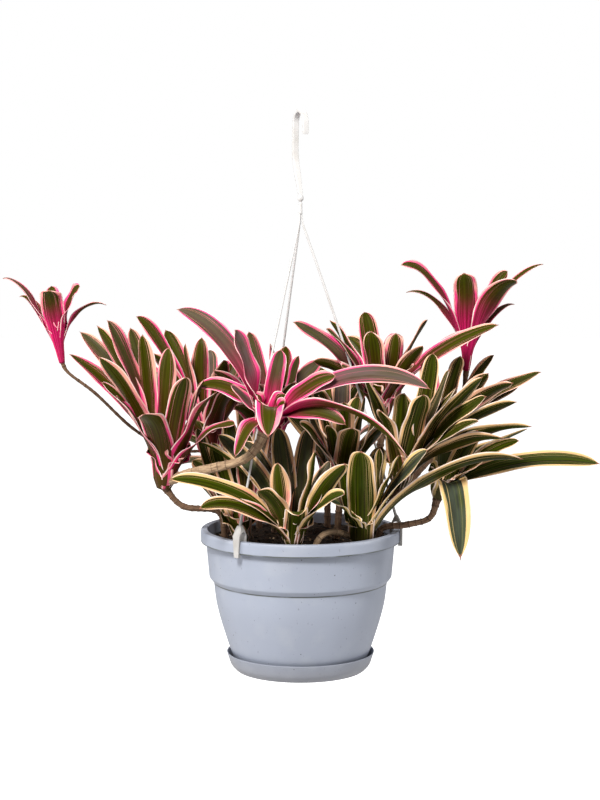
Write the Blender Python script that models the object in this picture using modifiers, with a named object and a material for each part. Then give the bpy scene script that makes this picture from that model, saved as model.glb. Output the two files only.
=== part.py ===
"""A clump of variegated Neoregelia rosettes in a hanging pot, as separate closed solids.

Heights are written above the saucer's underside. An empty lowers the whole model so that the
world origin is where the hook bears on its hanging point. X is to the right, -Y is the front.
"""

import math

import bmesh
import bpy
import numpy as np
from mathutils import Matrix, Vector
from mathutils.bvhtree import BVHTree

# ---------------------------------------------------------------- driving dimensions, in metres
GAP = 0.0003                # between pieces that touch
TURN_STEPS = 36             # facets round a turned piece

RIM_RADIUS = 0.1375
RIM_TOP = 0.197
RIM_SKIRT = 0.017           # height of the band that hangs from the rim
SKIRT_WALL = 0.0022
RIM_OVERHANG = 0.0070       # from the pot's wall out to the face of the band
POT_WALL = 0.0022
UPPER_TAPER = 0.0046        # how much the upper wall narrows down to the step
STEP_HEIGHT = 0.131
STEP_DEPTH = 0.0062
STEP_DROP = 0.0075
FOOT_RADIUS = 0.083
POT_FLOOR = 0.0024
DRAIN_RADIUS = 0.005
DRAIN_CIRCLE = 0.05
DRAIN_COUNT = 5
# The bowl below the step: share of its height, share of its flare.
BOWL = ((0.08, 0.19), (0.23, 0.39), (0.38, 0.555), (0.59, 0.765), (0.78, 0.912), (1.0, 1.0))

SAUCER_FLOOR = 0.002
SAUCER_WALL = 0.0018
SAUCER_HEIGHT = 0.0255
SAUCER_CLEARANCE = 0.0050   # between the pot's wall and the saucer's, where they are closest
SAUCER_CORNER = 0.008

SOIL_DEPTH = 0.015          # from the rim's top down to the soil
SOIL_CROWN = 0.004          # how much higher the soil stands in the middle
SOIL_EDGE = RIM_TOP - SOIL_DEPTH

HOOK_TOP = 0.7652           # underside of the hook's arch, where it bears
HOOK_RADIUS = 0.0175        # of the arch's centre line
HOOK_THICK = 0.0045
HOOK_WIDTH = 0.0086
HOOK_TIP_DROP = 0.014       # straight end below the arch
HOOK_TURN = 22.0            # degrees from the front that the tip points to
SHANK_BOW = 0.0015
SHANK_FOOT = 0.654
KNOB_RADIUS = 0.0042
KNOB_HEIGHT = 0.0108
NECK_RADIUS = 0.0026
NECK_LENGTH = 0.022
KNOB_SEAT = 0.35            # share of the knob's height that is below the shank's foot

ARM_RADIUS = 0.0016
ARM_TOP_RADIUS = 0.0011
ARM_STRAIGHT = 0.012        # length beside the neck that runs straight down
ARM_BOW = 0.004             # how far an arm bends outward
ARM_HEADINGS = {"front": -37.6, "right": 82.4, "back": 202.4}
CLIP_WIDTH = 0.012
CLIP_THICK = 0.003
CLIP_HEADROOM = 0.0125      # from the rim's top up to the fork's crotch
CLIP_HEAD = 0.0085          # from the crotch to the clip's top
CLIP_TOE = 0.004            # height of the toe under the band
CLIP_TOE_REACH = 0.0022
CLIP_INNER_DROP = 0.011     # how far the inner leg reaches below the rim's top

LEAF_THICK = 0.0016
LEAF_CLEAR = 0.0006         # kept between leaves of neighbouring rosettes
LEAF_SCALE = 1.0            # length of every leaf against its listed tip
WIDTH_SCALE = 1.2           # width of every leaf against its listed one
PUP_STRAP = 0.019           # listed width from which a pup's leaf is a blunt strap
FOOT_WIDTH = 0.84           # width of a leaf where it starts, against its widest
FOOT_REACH = 0.35           # share of a leaf's length over which it widens
ROLL = 42.0                 # degrees that a blade on the plant's flank turns a face to the front
LEAF_STATIONS = (0.0, 0.20, 0.43, 0.67, 0.87)
KEEL_SHARE = (0.55, 0.30, 0.24)   # depth of the fold against half the width: foot, lower third, tip
LEAF_ROOT_SHARE = 0.55      # where a leaf leaves the axis, against the rosette's foot radius
CROWN_SIDES = 8
CORE_MIDDLE = 0.30          # heights of the sheath's waist and shoulder against its own
CORE_SHOULDER = 0.72
SIDE_LEVEL = 0.15           # height on a sheath at which a runner meets its side
HEEL_SWELL = 0.45           # how much a stem thickens where it meets its rosette's foot
HEEL_LENGTH = 0.012

# Each rosette: base point, lean of its axis (x and y for z = 1), radius at foot and at top, height.
CROWNS = {
    "crown_front": ((-0.047, -0.098, 0.345), (0.18, -0.20), (0.009, 0.015), 0.034),
    "crown_left": ((-0.186, -0.035, 0.258), (0.12, -0.05), (0.013, 0.021), 0.050),
    "crown_low_right": ((0.082, -0.060, SOIL_EDGE + 0.0028), (0.05, -0.12), (0.011, 0.017), 0.036),
    "crown_low_front": ((-0.010, -0.088, SOIL_EDGE + 0.0035), (0.02, -0.12), (0.011, 0.017), 0.036),
    "crown_right": ((0.134, -0.050, 0.262), (0.10, -0.10), (0.010, 0.017), 0.040),
    "crown_upper_right": ((0.112, 0.018, 0.345), (0.00, -0.05), (0.011, 0.018), 0.040),
    "pup_left": ((-0.327, 0.010, 0.424), (-0.16, -0.06), (0.0050, 0.0120), 0.060),
    "pup_right": ((0.230, 0.045, 0.410), (0.04, -0.06), (0.0065, 0.0115), 0.064),
    "crown_far_right": ((0.186, -0.040, 0.246), (0.22, -0.12), (0.010, 0.015), 0.034),
    "crown_back_right": ((0.182, 0.045, 0.290), (0.12, 0.10), (0.010, 0.016), 0.038),
    "crown_centre": ((0.055, -0.024, 0.250), (0.05, -0.20), (0.010, 0.016), 0.038),
    "crown_upper_left": ((-0.128, 0.040, 0.290), (-0.02, -0.02), (0.011, 0.018), 0.042),
    "crown_middle": ((-0.038, 0.022, 0.300), (-0.05, -0.10), (0.010, 0.016), 0.040),
    "crown_low_left": ((-0.078, -0.050, SOIL_EDGE + 0.0035), (-0.15, -0.05), (0.010, 0.016), 0.034),
    "crown_back": ((0.040, 0.085, 0.250), (0.05, 0.25), (0.010, 0.016), 0.038),
    "crown_back_left": ((-0.068, 0.085, 0.215), (-0.20, 0.30), (0.010, 0.016), 0.036),
}

# Each leaf: tip x, y, z, width, arch (lift of the outer half against its length), rise (how far
# it follows the rosette's axis against its length).
LEAVES = {
    "crown_front": (
        (-0.166, -0.060, 0.503, 0.025, 0.20, 0.30),
        (-0.086, -0.130, 0.482, 0.026, 0.10, 0.34),
        (-0.042, -0.176, 0.344, 0.032, 0.62, 0.45),
        (0.047, -0.125, 0.420, 0.022, 0.12, 0.30),
        (0.172, -0.130, 0.402, 0.023, 0.22, 0.25),
        (0.140, -0.175, 0.318, 0.026, 0.30, 0.22),
        (0.060, -0.150, 0.358, 0.022, 0.22, 0.18),
        (-0.092, -0.120, 0.408, 0.014, 0.05, 0.20),
        (-0.086, -0.150, 0.315, 0.028, 0.42, 0.20),
        (-0.026, -0.085, 0.452, 0.020, 0.02, 0.42),
        (-0.140, -0.050, 0.400, 0.022, 0.16, 0.24),
    ),
    "crown_left": (
        (-0.312, -0.050, 0.443, 0.022, 0.06, 0.36),
        (-0.303, 0.010, 0.468, 0.022, 0.07, 0.36),
        (-0.275, -0.035, 0.480, 0.026, 0.07, 0.38),
        (-0.258, -0.070, 0.490, 0.028, 0.09, 0.40),
        (-0.232, -0.010, 0.475, 0.024, 0.08, 0.42),
        (-0.266, -0.110, 0.445, 0.024, 0.07, 0.34),
        (-0.262, -0.120, 0.412, 0.024, 0.07, 0.30),
        (-0.245, -0.105, 0.392, 0.024, 0.10, 0.28),
        (-0.212, -0.055, 0.470, 0.024, 0.05, 0.45),
        (-0.108, -0.105, 0.392, 0.027, 0.20, 0.30),
        (-0.085, -0.120, 0.350, 0.024, 0.20, 0.22),
        (-0.150, -0.130, 0.420, 0.024, 0.10, 0.36),
        (-0.175, -0.080, 0.455, 0.024, 0.04, 0.45),
        (-0.118, -0.075, 0.405, 0.026, 0.16, 0.36),
        (-0.205, -0.140, 0.372, 0.030, 0.10, 0.40),
    ),
    "crown_low_right": (
        (0.080, -0.130, 0.322, 0.034, 0.06, 0.40),
        (0.106, -0.084, 0.320, 0.028, 0.03, 0.45),
        (0.296, -0.110, 0.308, 0.027, 0.16, 0.26),
        (0.130, -0.110, 0.314, 0.026, 0.06, 0.40),
        (0.038, -0.130, 0.255, 0.022, 0.16, 0.30),
        (0.058, -0.086, 0.300, 0.026, 0.06, 0.38),
        (0.110, -0.030, 0.315, 0.024, 0.10, 0.36),
        (0.168, -0.122, 0.322, 0.028, 0.08, 0.34),
    ),
    "crown_low_front": (
        (-0.175, -0.110, 0.284, 0.020, 0.12, 0.26),
        (-0.134, -0.140, 0.246, 0.022, 0.24, 0.18),
        (-0.136, -0.045, 0.323, 0.022, 0.08, 0.32),
        (-0.112, -0.060, 0.335, 0.022, 0.06, 0.36),
        (-0.076, -0.050, 0.325, 0.022, 0.05, 0.38),
        (-0.030, -0.110, 0.304, 0.026, 0.02, 0.45),
        (0.018, -0.128, 0.322, 0.026, 0.04, 0.42),
        (0.040, -0.112, 0.306, 0.026, 0.05, 0.38),
        (0.060, -0.130, 0.305, 0.026, 0.08, 0.32),
        (-0.003, -0.162, 0.240, 0.026, 0.34, 0.34),
        (0.058, -0.155, 0.268, 0.022, 0.14, 0.32),
        (-0.055, -0.145, 0.272, 0.024, 0.16, 0.34),
        (0.012, -0.060, 0.345, 0.024, 0.06, 0.40),
        (-0.030, -0.062, 0.345, 0.026, 0.04, 0.42),
    ),
    "crown_right": (
        (0.178, -0.060, 0.446, 0.024, 0.04, 0.42),
        (0.198, -0.090, 0.426, 0.027, 0.05, 0.38),
        (0.244, -0.070, 0.414, 0.024, 0.06, 0.32),
        (0.162, -0.120, 0.396, 0.028, 0.05, 0.40),
        (0.246, -0.110, 0.392, 0.024, 0.08, 0.28),
        (0.291, -0.070, 0.380, 0.022, 0.10, 0.26),
        (0.234, -0.135, 0.362, 0.024, 0.10, 0.24),
        (0.137, -0.110, 0.397, 0.028, 0.03, 0.42),
        (0.308, -0.100, 0.350, 0.022, 0.12, 0.22),
        (0.105, -0.130, 0.375, 0.026, 0.12, 0.32),
        (0.085, -0.080, 0.412, 0.024, 0.06, 0.38),
        (0.268, -0.125, 0.338, 0.022, 0.14, 0.20),
        (0.206, -0.115, 0.405, 0.028, 0.06, 0.36),
    ),
    "crown_upper_right": (
        (-0.011, -0.020, 0.479, 0.028, 0.10, 0.30),
        (0.034, -0.040, 0.476, 0.022, 0.08, 0.34),
        (0.040, 0.030, 0.482, 0.022, 0.08, 0.36),
        (0.096, -0.030, 0.472, 0.028, 0.03, 0.45),
        (0.088, 0.050, 0.492, 0.024, 0.10, 0.45),
        (0.176, 0.040, 0.482, 0.022, 0.12, 0.36),
        (0.239, -0.010, 0.470, 0.014, 0.12, 0.30),
        (0.268, -0.040, 0.481, 0.024, 0.08, 0.28),
        (0.166, -0.030, 0.452, 0.020, 0.08, 0.36),
        (0.140, 0.120, 0.455, 0.024, 0.12, 0.36),
        (0.060, 0.130, 0.450, 0.024, 0.14, 0.34),
        (0.130, -0.010, 0.468, 0.024, 0.02, 0.46),
        (0.055, -0.060, 0.425, 0.024, 0.16, 0.30),
        (0.150, -0.060, 0.425, 0.022, 0.14, 0.32),
        (0.016, 0.000, 0.428, 0.022, 0.16, 0.28),
    ),
    "pup_left": (
        (-0.403, -0.020, 0.542, 0.018, 0.18, 0.50),
        (-0.387, 0.030, 0.514, 0.014, 0.22, 0.46),
        (-0.338, -0.038, 0.527, 0.026, 0.10, 0.62),
        (-0.343, 0.030, 0.529, 0.020, 0.05, 0.60),
        (-0.299, -0.015, 0.531, 0.020, 0.14, 0.56),
        (-0.266, 0.020, 0.503, 0.014, 0.26, 0.44),
    ),
    "pup_right": (
        (0.136, 0.000, 0.559, 0.020, 0.20, 0.46),
        (0.146, 0.055, 0.518, 0.014, 0.22, 0.44),
        (0.222, -0.005, 0.549, 0.028, 0.06, 0.58),
        (0.286, 0.040, 0.549, 0.020, 0.12, 0.48),
        (0.332, 0.010, 0.560, 0.018, 0.12, 0.44),
        (0.292, -0.030, 0.540, 0.026, 0.12, 0.50),
        (0.297, 0.050, 0.502, 0.014, 0.20, 0.38),
    ),
    "crown_far_right": (
        (0.408, -0.040, 0.291, 0.023, 0.12, 0.16),
        (0.213, -0.108, 0.170, 0.033, 0.55, 0.34),
        (0.308, -0.040, 0.340, 0.022, 0.10, 0.26),
        (0.292, -0.090, 0.330, 0.022, 0.12, 0.24),
        (0.284, 0.010, 0.312, 0.022, 0.12, 0.24),
        (0.240, -0.090, 0.345, 0.024, 0.06, 0.34),
        (0.255, 0.060, 0.300, 0.022, 0.18, 0.26),
        (0.200, 0.020, 0.335, 0.024, 0.08, 0.36),
    ),
    "crown_back_right": (
        (0.268, 0.040, 0.436, 0.024, 0.05, 0.36),
        (0.219, 0.000, 0.436, 0.022, 0.04, 0.42),
        (0.258, 0.000, 0.412, 0.022, 0.06, 0.30),
        (0.336, 0.030, 0.408, 0.026, 0.08, 0.24),
        (0.284, 0.080, 0.400, 0.016, 0.06, 0.28),
        (0.250, 0.140, 0.400, 0.024, 0.12, 0.32),
        (0.180, 0.150, 0.420, 0.024, 0.12, 0.34),
        (0.300, 0.110, 0.350, 0.022, 0.14, 0.24),
        (0.290, -0.020, 0.400, 0.022, 0.10, 0.28),
    ),
    "crown_centre": (
        (0.000, -0.080, 0.378, 0.026, 0.08, 0.36),
        (0.024, -0.095, 0.392, 0.024, 0.06, 0.40),
        (0.058, -0.100, 0.384, 0.026, 0.05, 0.42),
        (-0.022, -0.095, 0.355, 0.024, 0.10, 0.32),
        (0.085, -0.080, 0.388, 0.024, 0.05, 0.42),
        (0.068, -0.125, 0.352, 0.026, 0.10, 0.34),
        (0.105, -0.085, 0.352, 0.024, 0.10, 0.32),
        (0.020, 0.040, 0.390, 0.024, 0.08, 0.36),
        (0.080, 0.040, 0.375, 0.024, 0.10, 0.34),
        (-0.020, -0.010, 0.360, 0.024, 0.12, 0.32),
        (0.040, -0.090, 0.350, 0.024, 0.12, 0.32),
        (0.120, -0.040, 0.350, 0.024, 0.10, 0.34),
    ),
    "crown_upper_left": (
        (-0.227, 0.030, 0.487, 0.020, 0.16, 0.40),
        (-0.158, 0.010, 0.452, 0.022, 0.02, 0.45),
        (-0.136, 0.030, 0.459, 0.022, 0.03, 0.45),
        (-0.104, -0.020, 0.432, 0.027, 0.08, 0.35),
        (-0.190, 0.080, 0.465, 0.022, 0.06, 0.40),
        (-0.230, 0.120, 0.400, 0.024, 0.12, 0.32),
        (-0.130, 0.150, 0.430, 0.024, 0.12, 0.35),
        (-0.070, 0.100, 0.455, 0.022, 0.06, 0.40),
        (-0.200, -0.010, 0.440, 0.020, 0.05, 0.40),
        (-0.250, 0.060, 0.430, 0.022, 0.08, 0.34),
        (-0.090, -0.050, 0.395, 0.026, 0.14, 0.34),
        (-0.060, 0.010, 0.415, 0.024, 0.12, 0.34),
    ),
    "crown_middle": (
        (-0.083, 0.000, 0.462, 0.024, 0.06, 0.40),
        (-0.072, 0.050, 0.465, 0.022, 0.06, 0.40),
        (-0.042, 0.010, 0.452, 0.024, 0.03, 0.45),
        (-0.020, 0.040, 0.446, 0.024, 0.05, 0.42),
        (-0.002, 0.000, 0.436, 0.022, 0.06, 0.38),
        (-0.128, -0.030, 0.412, 0.022, 0.12, 0.30),
        (-0.060, -0.070, 0.400, 0.022, 0.16, 0.32),
        (0.030, 0.090, 0.420, 0.022, 0.10, 0.35),
        (-0.090, 0.120, 0.420, 0.022, 0.14, 0.32),
        (0.040, -0.010, 0.412, 0.024, 0.14, 0.30),
        (-0.010, -0.060, 0.405, 0.024, 0.12, 0.34),
        (-0.090, -0.040, 0.370, 0.024, 0.18, 0.28),
    ),
    "crown_low_left": (
        (-0.074, -0.040, 0.338, 0.024, 0.03, 0.44),
        (-0.120, -0.030, 0.320, 0.022, 0.08, 0.36),
        (-0.160, -0.010, 0.275, 0.022, 0.14, 0.28),
        (-0.112, -0.060, 0.345, 0.022, 0.06, 0.40),
        (-0.140, 0.040, 0.290, 0.024, 0.14, 0.30),
        (-0.100, 0.020, 0.345, 0.022, 0.08, 0.38),
        (-0.040, -0.010, 0.340, 0.024, 0.06, 0.40),
        (-0.045, -0.030, 0.350, 0.024, 0.06, 0.40),
    ),
    "crown_back": (
        (0.030, 0.200, 0.400, 0.024, 0.12, 0.34),
        (0.090, 0.190, 0.380, 0.024, 0.12, 0.32),
        (-0.020, 0.170, 0.420, 0.022, 0.08, 0.38),
        (0.060, 0.140, 0.425, 0.022, 0.04, 0.42),
        (0.040, 0.250, 0.320, 0.024, 0.22, 0.26),
        (0.130, 0.200, 0.310, 0.022, 0.20, 0.26),
        (-0.030, 0.230, 0.340, 0.022, 0.18, 0.28),
        (0.100, 0.110, 0.400, 0.024, 0.08, 0.38),
        (0.010, 0.110, 0.400, 0.024, 0.06, 0.40),
    ),
    "crown_back_left": (
        (-0.130, 0.190, 0.340, 0.024, 0.14, 0.32),
        (-0.080, 0.220, 0.330, 0.024, 0.16, 0.30),
        (-0.180, 0.150, 0.310, 0.022, 0.16, 0.28),
        (-0.090, 0.150, 0.380, 0.022, 0.06, 0.40),
        (-0.030, 0.190, 0.290, 0.022, 0.18, 0.28),
        (-0.190, 0.200, 0.250, 0.022, 0.26, 0.24),
        (-0.100, 0.240, 0.230, 0.022, 0.28, 0.24),
        (-0.050, 0.090, 0.370, 0.024, 0.06, 0.40),
    ),
}

# Stems and runners: radius, then the points between the two ends, then what each end meets.
# An end is "soil" with its x and y, or a rosette: its foot, or its side at a heading in degrees.
STEMS = {
    "stem_left": (0.0040, ("soil", -0.104, -0.012), ((-0.112, -0.018, 0.222), (-0.160, -0.030, 0.232)),
                  ("foot", "crown_left")),
    "stem_front": (0.0058, ("side", "crown_left", 45.0), ((-0.150, -0.068, 0.284), (-0.112, -0.088, 0.294),
                   (-0.076, -0.098, 0.306), (-0.056, -0.099, 0.326)), ("foot", "crown_front")),
    "runner_surface": (0.0040, ("soil", 0.016, -0.104), ((0.026, -0.102, 0.202), (0.046, -0.082, 0.206)),
                       ("side", "crown_low_right", -90.0)),
    "stem_upper_left": (0.0045, ("soil", -0.098, 0.042), ((-0.116, 0.044, 0.236),),
                        ("foot", "crown_upper_left")),
    "runner_pup_left": (0.0021, ("side", "crown_upper_left", 270.0), ((-0.180, 0.040, 0.300),
                        (-0.232, 0.036, 0.330), (-0.282, 0.024, 0.380), (-0.318, 0.012, 0.410)),
                        ("foot", "pup_left")),
    "stem_middle": (0.0045, ("soil", -0.036, 0.030), ((-0.036, 0.028, 0.240),), ("foot", "crown_middle")),
    "stem_upper_right": (0.0050, ("soil", 0.088, 0.020), ((0.098, 0.018, 0.250), (0.110, 0.019, 0.310)),
                         ("foot", "crown_upper_right")),
    "stem_right": (0.0048, ("soil", 0.092, -0.022), ((0.100, -0.028, 0.214), (0.122, -0.043, 0.238)),
                   ("foot", "crown_right")),
    "stem_back_right": (0.0048, ("soil", 0.098, 0.046), ((0.110, 0.048, 0.225), (0.152, 0.046, 0.255)),
                        ("foot", "crown_back_right")),
    "stem_pup_right": (0.0030, ("side", "crown_back_right", 135.0), ((0.212, 0.064, 0.318),
                       (0.226, 0.056, 0.370)), ("foot", "pup_right")),
    "stem_far_right": (0.0042, ("soil", 0.104, -0.034), ((0.112, -0.036, 0.203), (0.146, -0.038, 0.2085),
                       (0.176, -0.040, 0.218)), ("foot", "crown_far_right")),
    "stem_centre": (0.0044, ("soil", 0.050, -0.014), ((0.052, -0.018, 0.218),), ("foot", "crown_centre")),
    "stem_back": (0.0044, ("soil", 0.038, 0.066), ((0.038, 0.072, 0.215),), ("foot", "crown_back")),
    "stem_back_left": (0.0042, ("soil", -0.058, 0.070), ((-0.060, 0.074, 0.198),),
                       ("foot", "crown_back_left")),
}

COLOURS = {
    "pot": (0.42, 0.48, 0.60, 1.0),
    "saucer": (0.38, 0.43, 0.54, 1.0),
    "soil": (0.025, 0.014, 0.009, 1.0),
    "hanger": (0.85, 0.85, 0.87, 1.0),
    "leaf": (0.16, 0.17, 0.05, 1.0),
    "pup": (0.55, 0.04, 0.16, 1.0),
    "stem": (0.13, 0.075, 0.04, 1.0),
}


# ---------------------------------------------------------------- helpers
def clear_scene():
    for obj in list(bpy.data.objects):
        bpy.data.objects.remove(obj, do_unlink=True)


def new_collection(name):
    made = bpy.data.collections.new(name)
    bpy.context.scene.collection.children.link(made)
    return made


def principled(name, colour, roughness):
    material = bpy.data.materials.new(name)
    material.use_nodes = True
    shader = material.node_tree.nodes["Principled BSDF"]
    shader.inputs["Base Color"].default_value = colour
    shader.inputs["Roughness"].default_value = roughness
    return material


def add_mesh_object(name, mesh, collection):
    obj = bpy.data.objects.new(name, mesh)
    collection.objects.link(obj)
    return obj


def mesh_from(name, points, faces):
    mesh = bpy.data.meshes.new(name)
    mesh.from_pydata([tuple(p) for p in points], [], faces)
    mesh.update()
    return mesh


def evaluated_mesh(obj, weld=True):
    """A plain mesh of the object with its modifiers applied and, for a curve's caps, welded."""
    bpy.context.view_layer.update()
    graph = bpy.context.evaluated_depsgraph_get()
    mesh = bpy.data.meshes.new_from_object(obj.evaluated_get(graph))
    if not weld:
        return mesh
    shape = bmesh.new()
    shape.from_mesh(mesh)
    bmesh.ops.remove_doubles(shape, verts=shape.verts, dist=1e-6)
    shape.to_mesh(mesh)
    shape.free()
    return mesh


def turned(name, profile, collection, steps=TURN_STEPS):
    """A solid of revolution: the profile runs down its outer side, then back along the inside."""
    mesh = bpy.data.meshes.new(name)
    mesh.from_pydata([(r, 0.0, z) for r, z in profile], [(i, i + 1) for i in range(len(profile) - 1)], [])
    obj = add_mesh_object(name, mesh, collection)
    screw = obj.modifiers.new("turn", "SCREW")
    screw.steps = steps
    screw.render_steps = steps
    screw.use_merge_vertices = True
    screw.merge_threshold = 0.00001
    return obj


def smooth_route(points, count):
    """Points evenly spread along a Catmull-Rom curve through the given ones."""
    known = np.array([tuple(p) for p in points], float)
    padded = np.vstack([2 * known[0] - known[1], known, 2 * known[-1] - known[-2]])
    share = np.linspace(0, len(known) - 1, count)
    index = np.minimum(share.astype(int), len(known) - 2)
    u = (share - index)[:, None]
    a, b, c, d = (padded[index + k] for k in range(4))
    return 0.5 * (2 * b + (c - a) * u + (2 * a - 5 * b + 4 * c - d) * u**2 + (3 * b - a - 3 * c + d) * u**3)


def rod(name, points, radii, collection, resolution=1):
    """A round rod along the points, as a mesh with its caps welded."""
    curve = bpy.data.curves.new(name, "CURVE")
    curve.dimensions = "3D"
    curve.bevel_depth = 1.0
    curve.bevel_resolution = resolution
    curve.use_fill_caps = True
    spline = curve.splines.new("POLY")
    spline.points.add(len(points) - 1)
    for point, place, radius in zip(spline.points, points, radii):
        point.co = (*place, 1.0)
        point.radius = radius
    guide = add_mesh_object(name + "_guide", curve, collection)
    obj = add_mesh_object(name, evaluated_mesh(guide), collection)
    obj.matrix_world = guide.matrix_world
    bpy.data.objects.remove(guide, do_unlink=True)
    return obj


def extruded_outline(name, outline, thickness, collection):
    """A flat outline in its own XY plane, thickened along Z, as a mesh with its faces welded."""
    curve = bpy.data.curves.new(name, "CURVE")
    curve.dimensions = "2D"
    curve.fill_mode = "BOTH"
    curve.extrude = thickness / 2
    spline = curve.splines.new("POLY")
    spline.points.add(len(outline) - 1)
    for point, (x, y) in zip(spline.points, outline):
        point.co = (x, y, 0.0, 1.0)
    spline.use_cyclic_u = True
    guide = add_mesh_object(name + "_guide", curve, collection)
    obj = add_mesh_object(name, evaluated_mesh(guide), collection)
    bpy.data.objects.remove(guide, do_unlink=True)
    shape = bmesh.new()
    shape.from_mesh(obj.data)
    bmesh.ops.recalc_face_normals(shape, faces=shape.faces)
    shape.to_mesh(obj.data)
    shape.free()
    return obj


def outer_skin(mesh):
    """Keeps only the largest shell, so that no closed pocket is left inside a union."""
    shape = bmesh.new()
    shape.from_mesh(mesh)
    left = set(shape.faces)
    shells = []
    while left:
        shell = []
        front = [left.pop()]
        while front:
            face = front.pop()
            shell.append(face)
            near = {other for edge in face.edges if len(edge.link_faces) == 2 for other in edge.link_faces}
            near &= left
            left -= near
            front.extend(near)
        shells.append(shell)
    shells.sort(key=len)
    for shell in shells[:-1]:
        bmesh.ops.delete(shape, geom=shell, context="FACES")
    shape.to_mesh(mesh)
    shape.free()


def union(name, first, others, collection, cutters):
    """One body from several overlapping closed ones."""
    operands = bpy.data.collections.new(name + "_operands")
    cutters.children.link(operands)
    for other in others:
        for home in list(other.users_collection):
            home.objects.unlink(other)
        operands.objects.link(other)
    join = first.modifiers.new("join", "BOOLEAN")
    join.operation = "UNION"
    join.operand_type = "COLLECTION"
    join.collection = operands
    join.solver = "MANIFOLD"
    mesh = evaluated_mesh(first, weld=False)
    outer_skin(mesh)
    for helper in [first, *others]:
        bpy.data.objects.remove(helper, do_unlink=True)
    bpy.data.collections.remove(operands)
    return add_mesh_object(name, mesh, collection)


def tree_of(obj):
    points = [obj.matrix_world @ v.co for v in obj.data.vertices]
    return BVHTree.FromPolygons(points, [tuple(p.vertices) for p in obj.data.polygons])


# ---------------------------------------------------------------- pot, saucer and soil
def wall_top():
    return RIM_RADIUS - RIM_OVERHANG


def pot_bottom():
    return SAUCER_FLOOR + GAP


def pot_outside():
    """Radius and height down the outside of the pot's wall, below its rim."""
    top = wall_top()
    step = top - UPPER_TAPER
    low = step - STEP_DEPTH
    low_z = STEP_HEIGHT - STEP_DROP
    bowl = [(FOOT_RADIUS + (low - FOOT_RADIUS) * flare, pot_bottom() + (low_z - pot_bottom()) * share)
            for share, flare in reversed(BOWL)]
    return [(top, RIM_TOP - SKIRT_WALL), (step, STEP_HEIGHT), *bowl, (FOOT_RADIUS, pot_bottom())]


def facet_sag(radius):
    """How far the middle of a turned piece's facet lies inside its circle."""
    return radius * (1 - math.cos(math.pi / TURN_STEPS))


def inner_radius(z):
    """Radius of the pot's inner wall at a height."""
    radii, heights = zip(*reversed(pot_outside()))
    return float(np.interp(z, heights, radii)) - POT_WALL


def soil_top(x=0.0, y=0.0):
    """The soil's surface: a low crown, flat at the pot's wall."""
    edge = inner_radius(RIM_TOP - SOIL_DEPTH)
    share = min(1.0, math.hypot(x, y) / edge)
    return RIM_TOP - SOIL_DEPTH + SOIL_CROWN * (1 - share**2)


def make_pot(collection, cutters):
    wall = pot_outside()
    skirt_low = RIM_TOP - RIM_SKIRT
    inner = [(r - POT_WALL, z) for r, z in reversed(wall[:-1])]
    profile = [
        (wall_top() - POT_WALL, RIM_TOP),
        (RIM_RADIUS, RIM_TOP),
        (RIM_RADIUS, skirt_low),
        (RIM_RADIUS - SKIRT_WALL, skirt_low),
        (RIM_RADIUS - SKIRT_WALL, RIM_TOP - SKIRT_WALL),
        *wall,
        (0.0, pot_bottom()),
        (0.0, pot_bottom() + POT_FLOOR),
        (inner_radius(pot_bottom() + POT_FLOOR), pot_bottom() + POT_FLOOR),
        *inner,
        (wall_top() - POT_WALL, RIM_TOP),
    ]
    pot = turned("pot", profile, collection)
    for number in range(DRAIN_COUNT):
        angle = 2 * math.pi * (number + 0.5) / DRAIN_COUNT
        place = (DRAIN_CIRCLE * math.cos(angle), DRAIN_CIRCLE * math.sin(angle), pot_bottom())
        bpy.ops.mesh.primitive_cylinder_add(vertices=12, radius=DRAIN_RADIUS, depth=4 * POT_FLOOR,
                                            location=place)
        cutter = bpy.context.object
        cutter.name = f"drain_cutter_{number + 1}"
        for home in list(cutter.users_collection):
            home.objects.unlink(cutter)
        cutters.objects.link(cutter)
        cutter.hide_render = True
        cutter.display_type = "WIRE"
        cut = pot.modifiers.new(cutter.name, "BOOLEAN")
        cut.operation = "DIFFERENCE"
        cut.object = cutter
    return pot


def make_saucer(collection):
    """A shallow dish that follows the pot's wall at a clearance."""
    wall = dict((z, r) for r, z in pot_outside())
    heights = sorted(wall)
    lip = float(np.interp(SAUCER_HEIGHT, heights, [wall[z] for z in heights])) + SAUCER_CLEARANCE
    foot = FOOT_RADIUS + SAUCER_CLEARANCE
    profile = [
        (lip, SAUCER_HEIGHT),
        (lip + SAUCER_WALL, SAUCER_HEIGHT),
        (foot + SAUCER_WALL + 0.55 * (lip - foot), SAUCER_CORNER),
        (foot + SAUCER_WALL, SAUCER_FLOOR / 2),
        (foot, 0.0),
        (0.0, 0.0),
        (0.0, SAUCER_FLOOR),
        (foot, SAUCER_FLOOR),
        (foot + 0.55 * (lip - foot), SAUCER_CORNER + SAUCER_FLOOR),
        (lip, SAUCER_HEIGHT),
    ]
    return turned("saucer", profile, collection)


def make_soil(collection):
    """The root ball fills the pot's inside at the gap."""
    floor = pot_bottom() + POT_FLOOR + GAP
    top = RIM_TOP - SOIL_DEPTH
    levels = [z for _, z in pot_outside() if floor + 0.004 < z < top - 0.004]
    edge = inner_radius(top) - GAP
    side = [(inner_radius(z) - GAP, z) for z in levels]
    crown = [(edge * share, soil_top(edge * share)) for share in (0.0, 0.35, 0.7)]
    profile = [*crown, (edge, top), *side, (inner_radius(floor) - GAP, floor), (0.0, floor)]
    return turned("potting_soil", profile, collection, TURN_STEPS)


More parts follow.
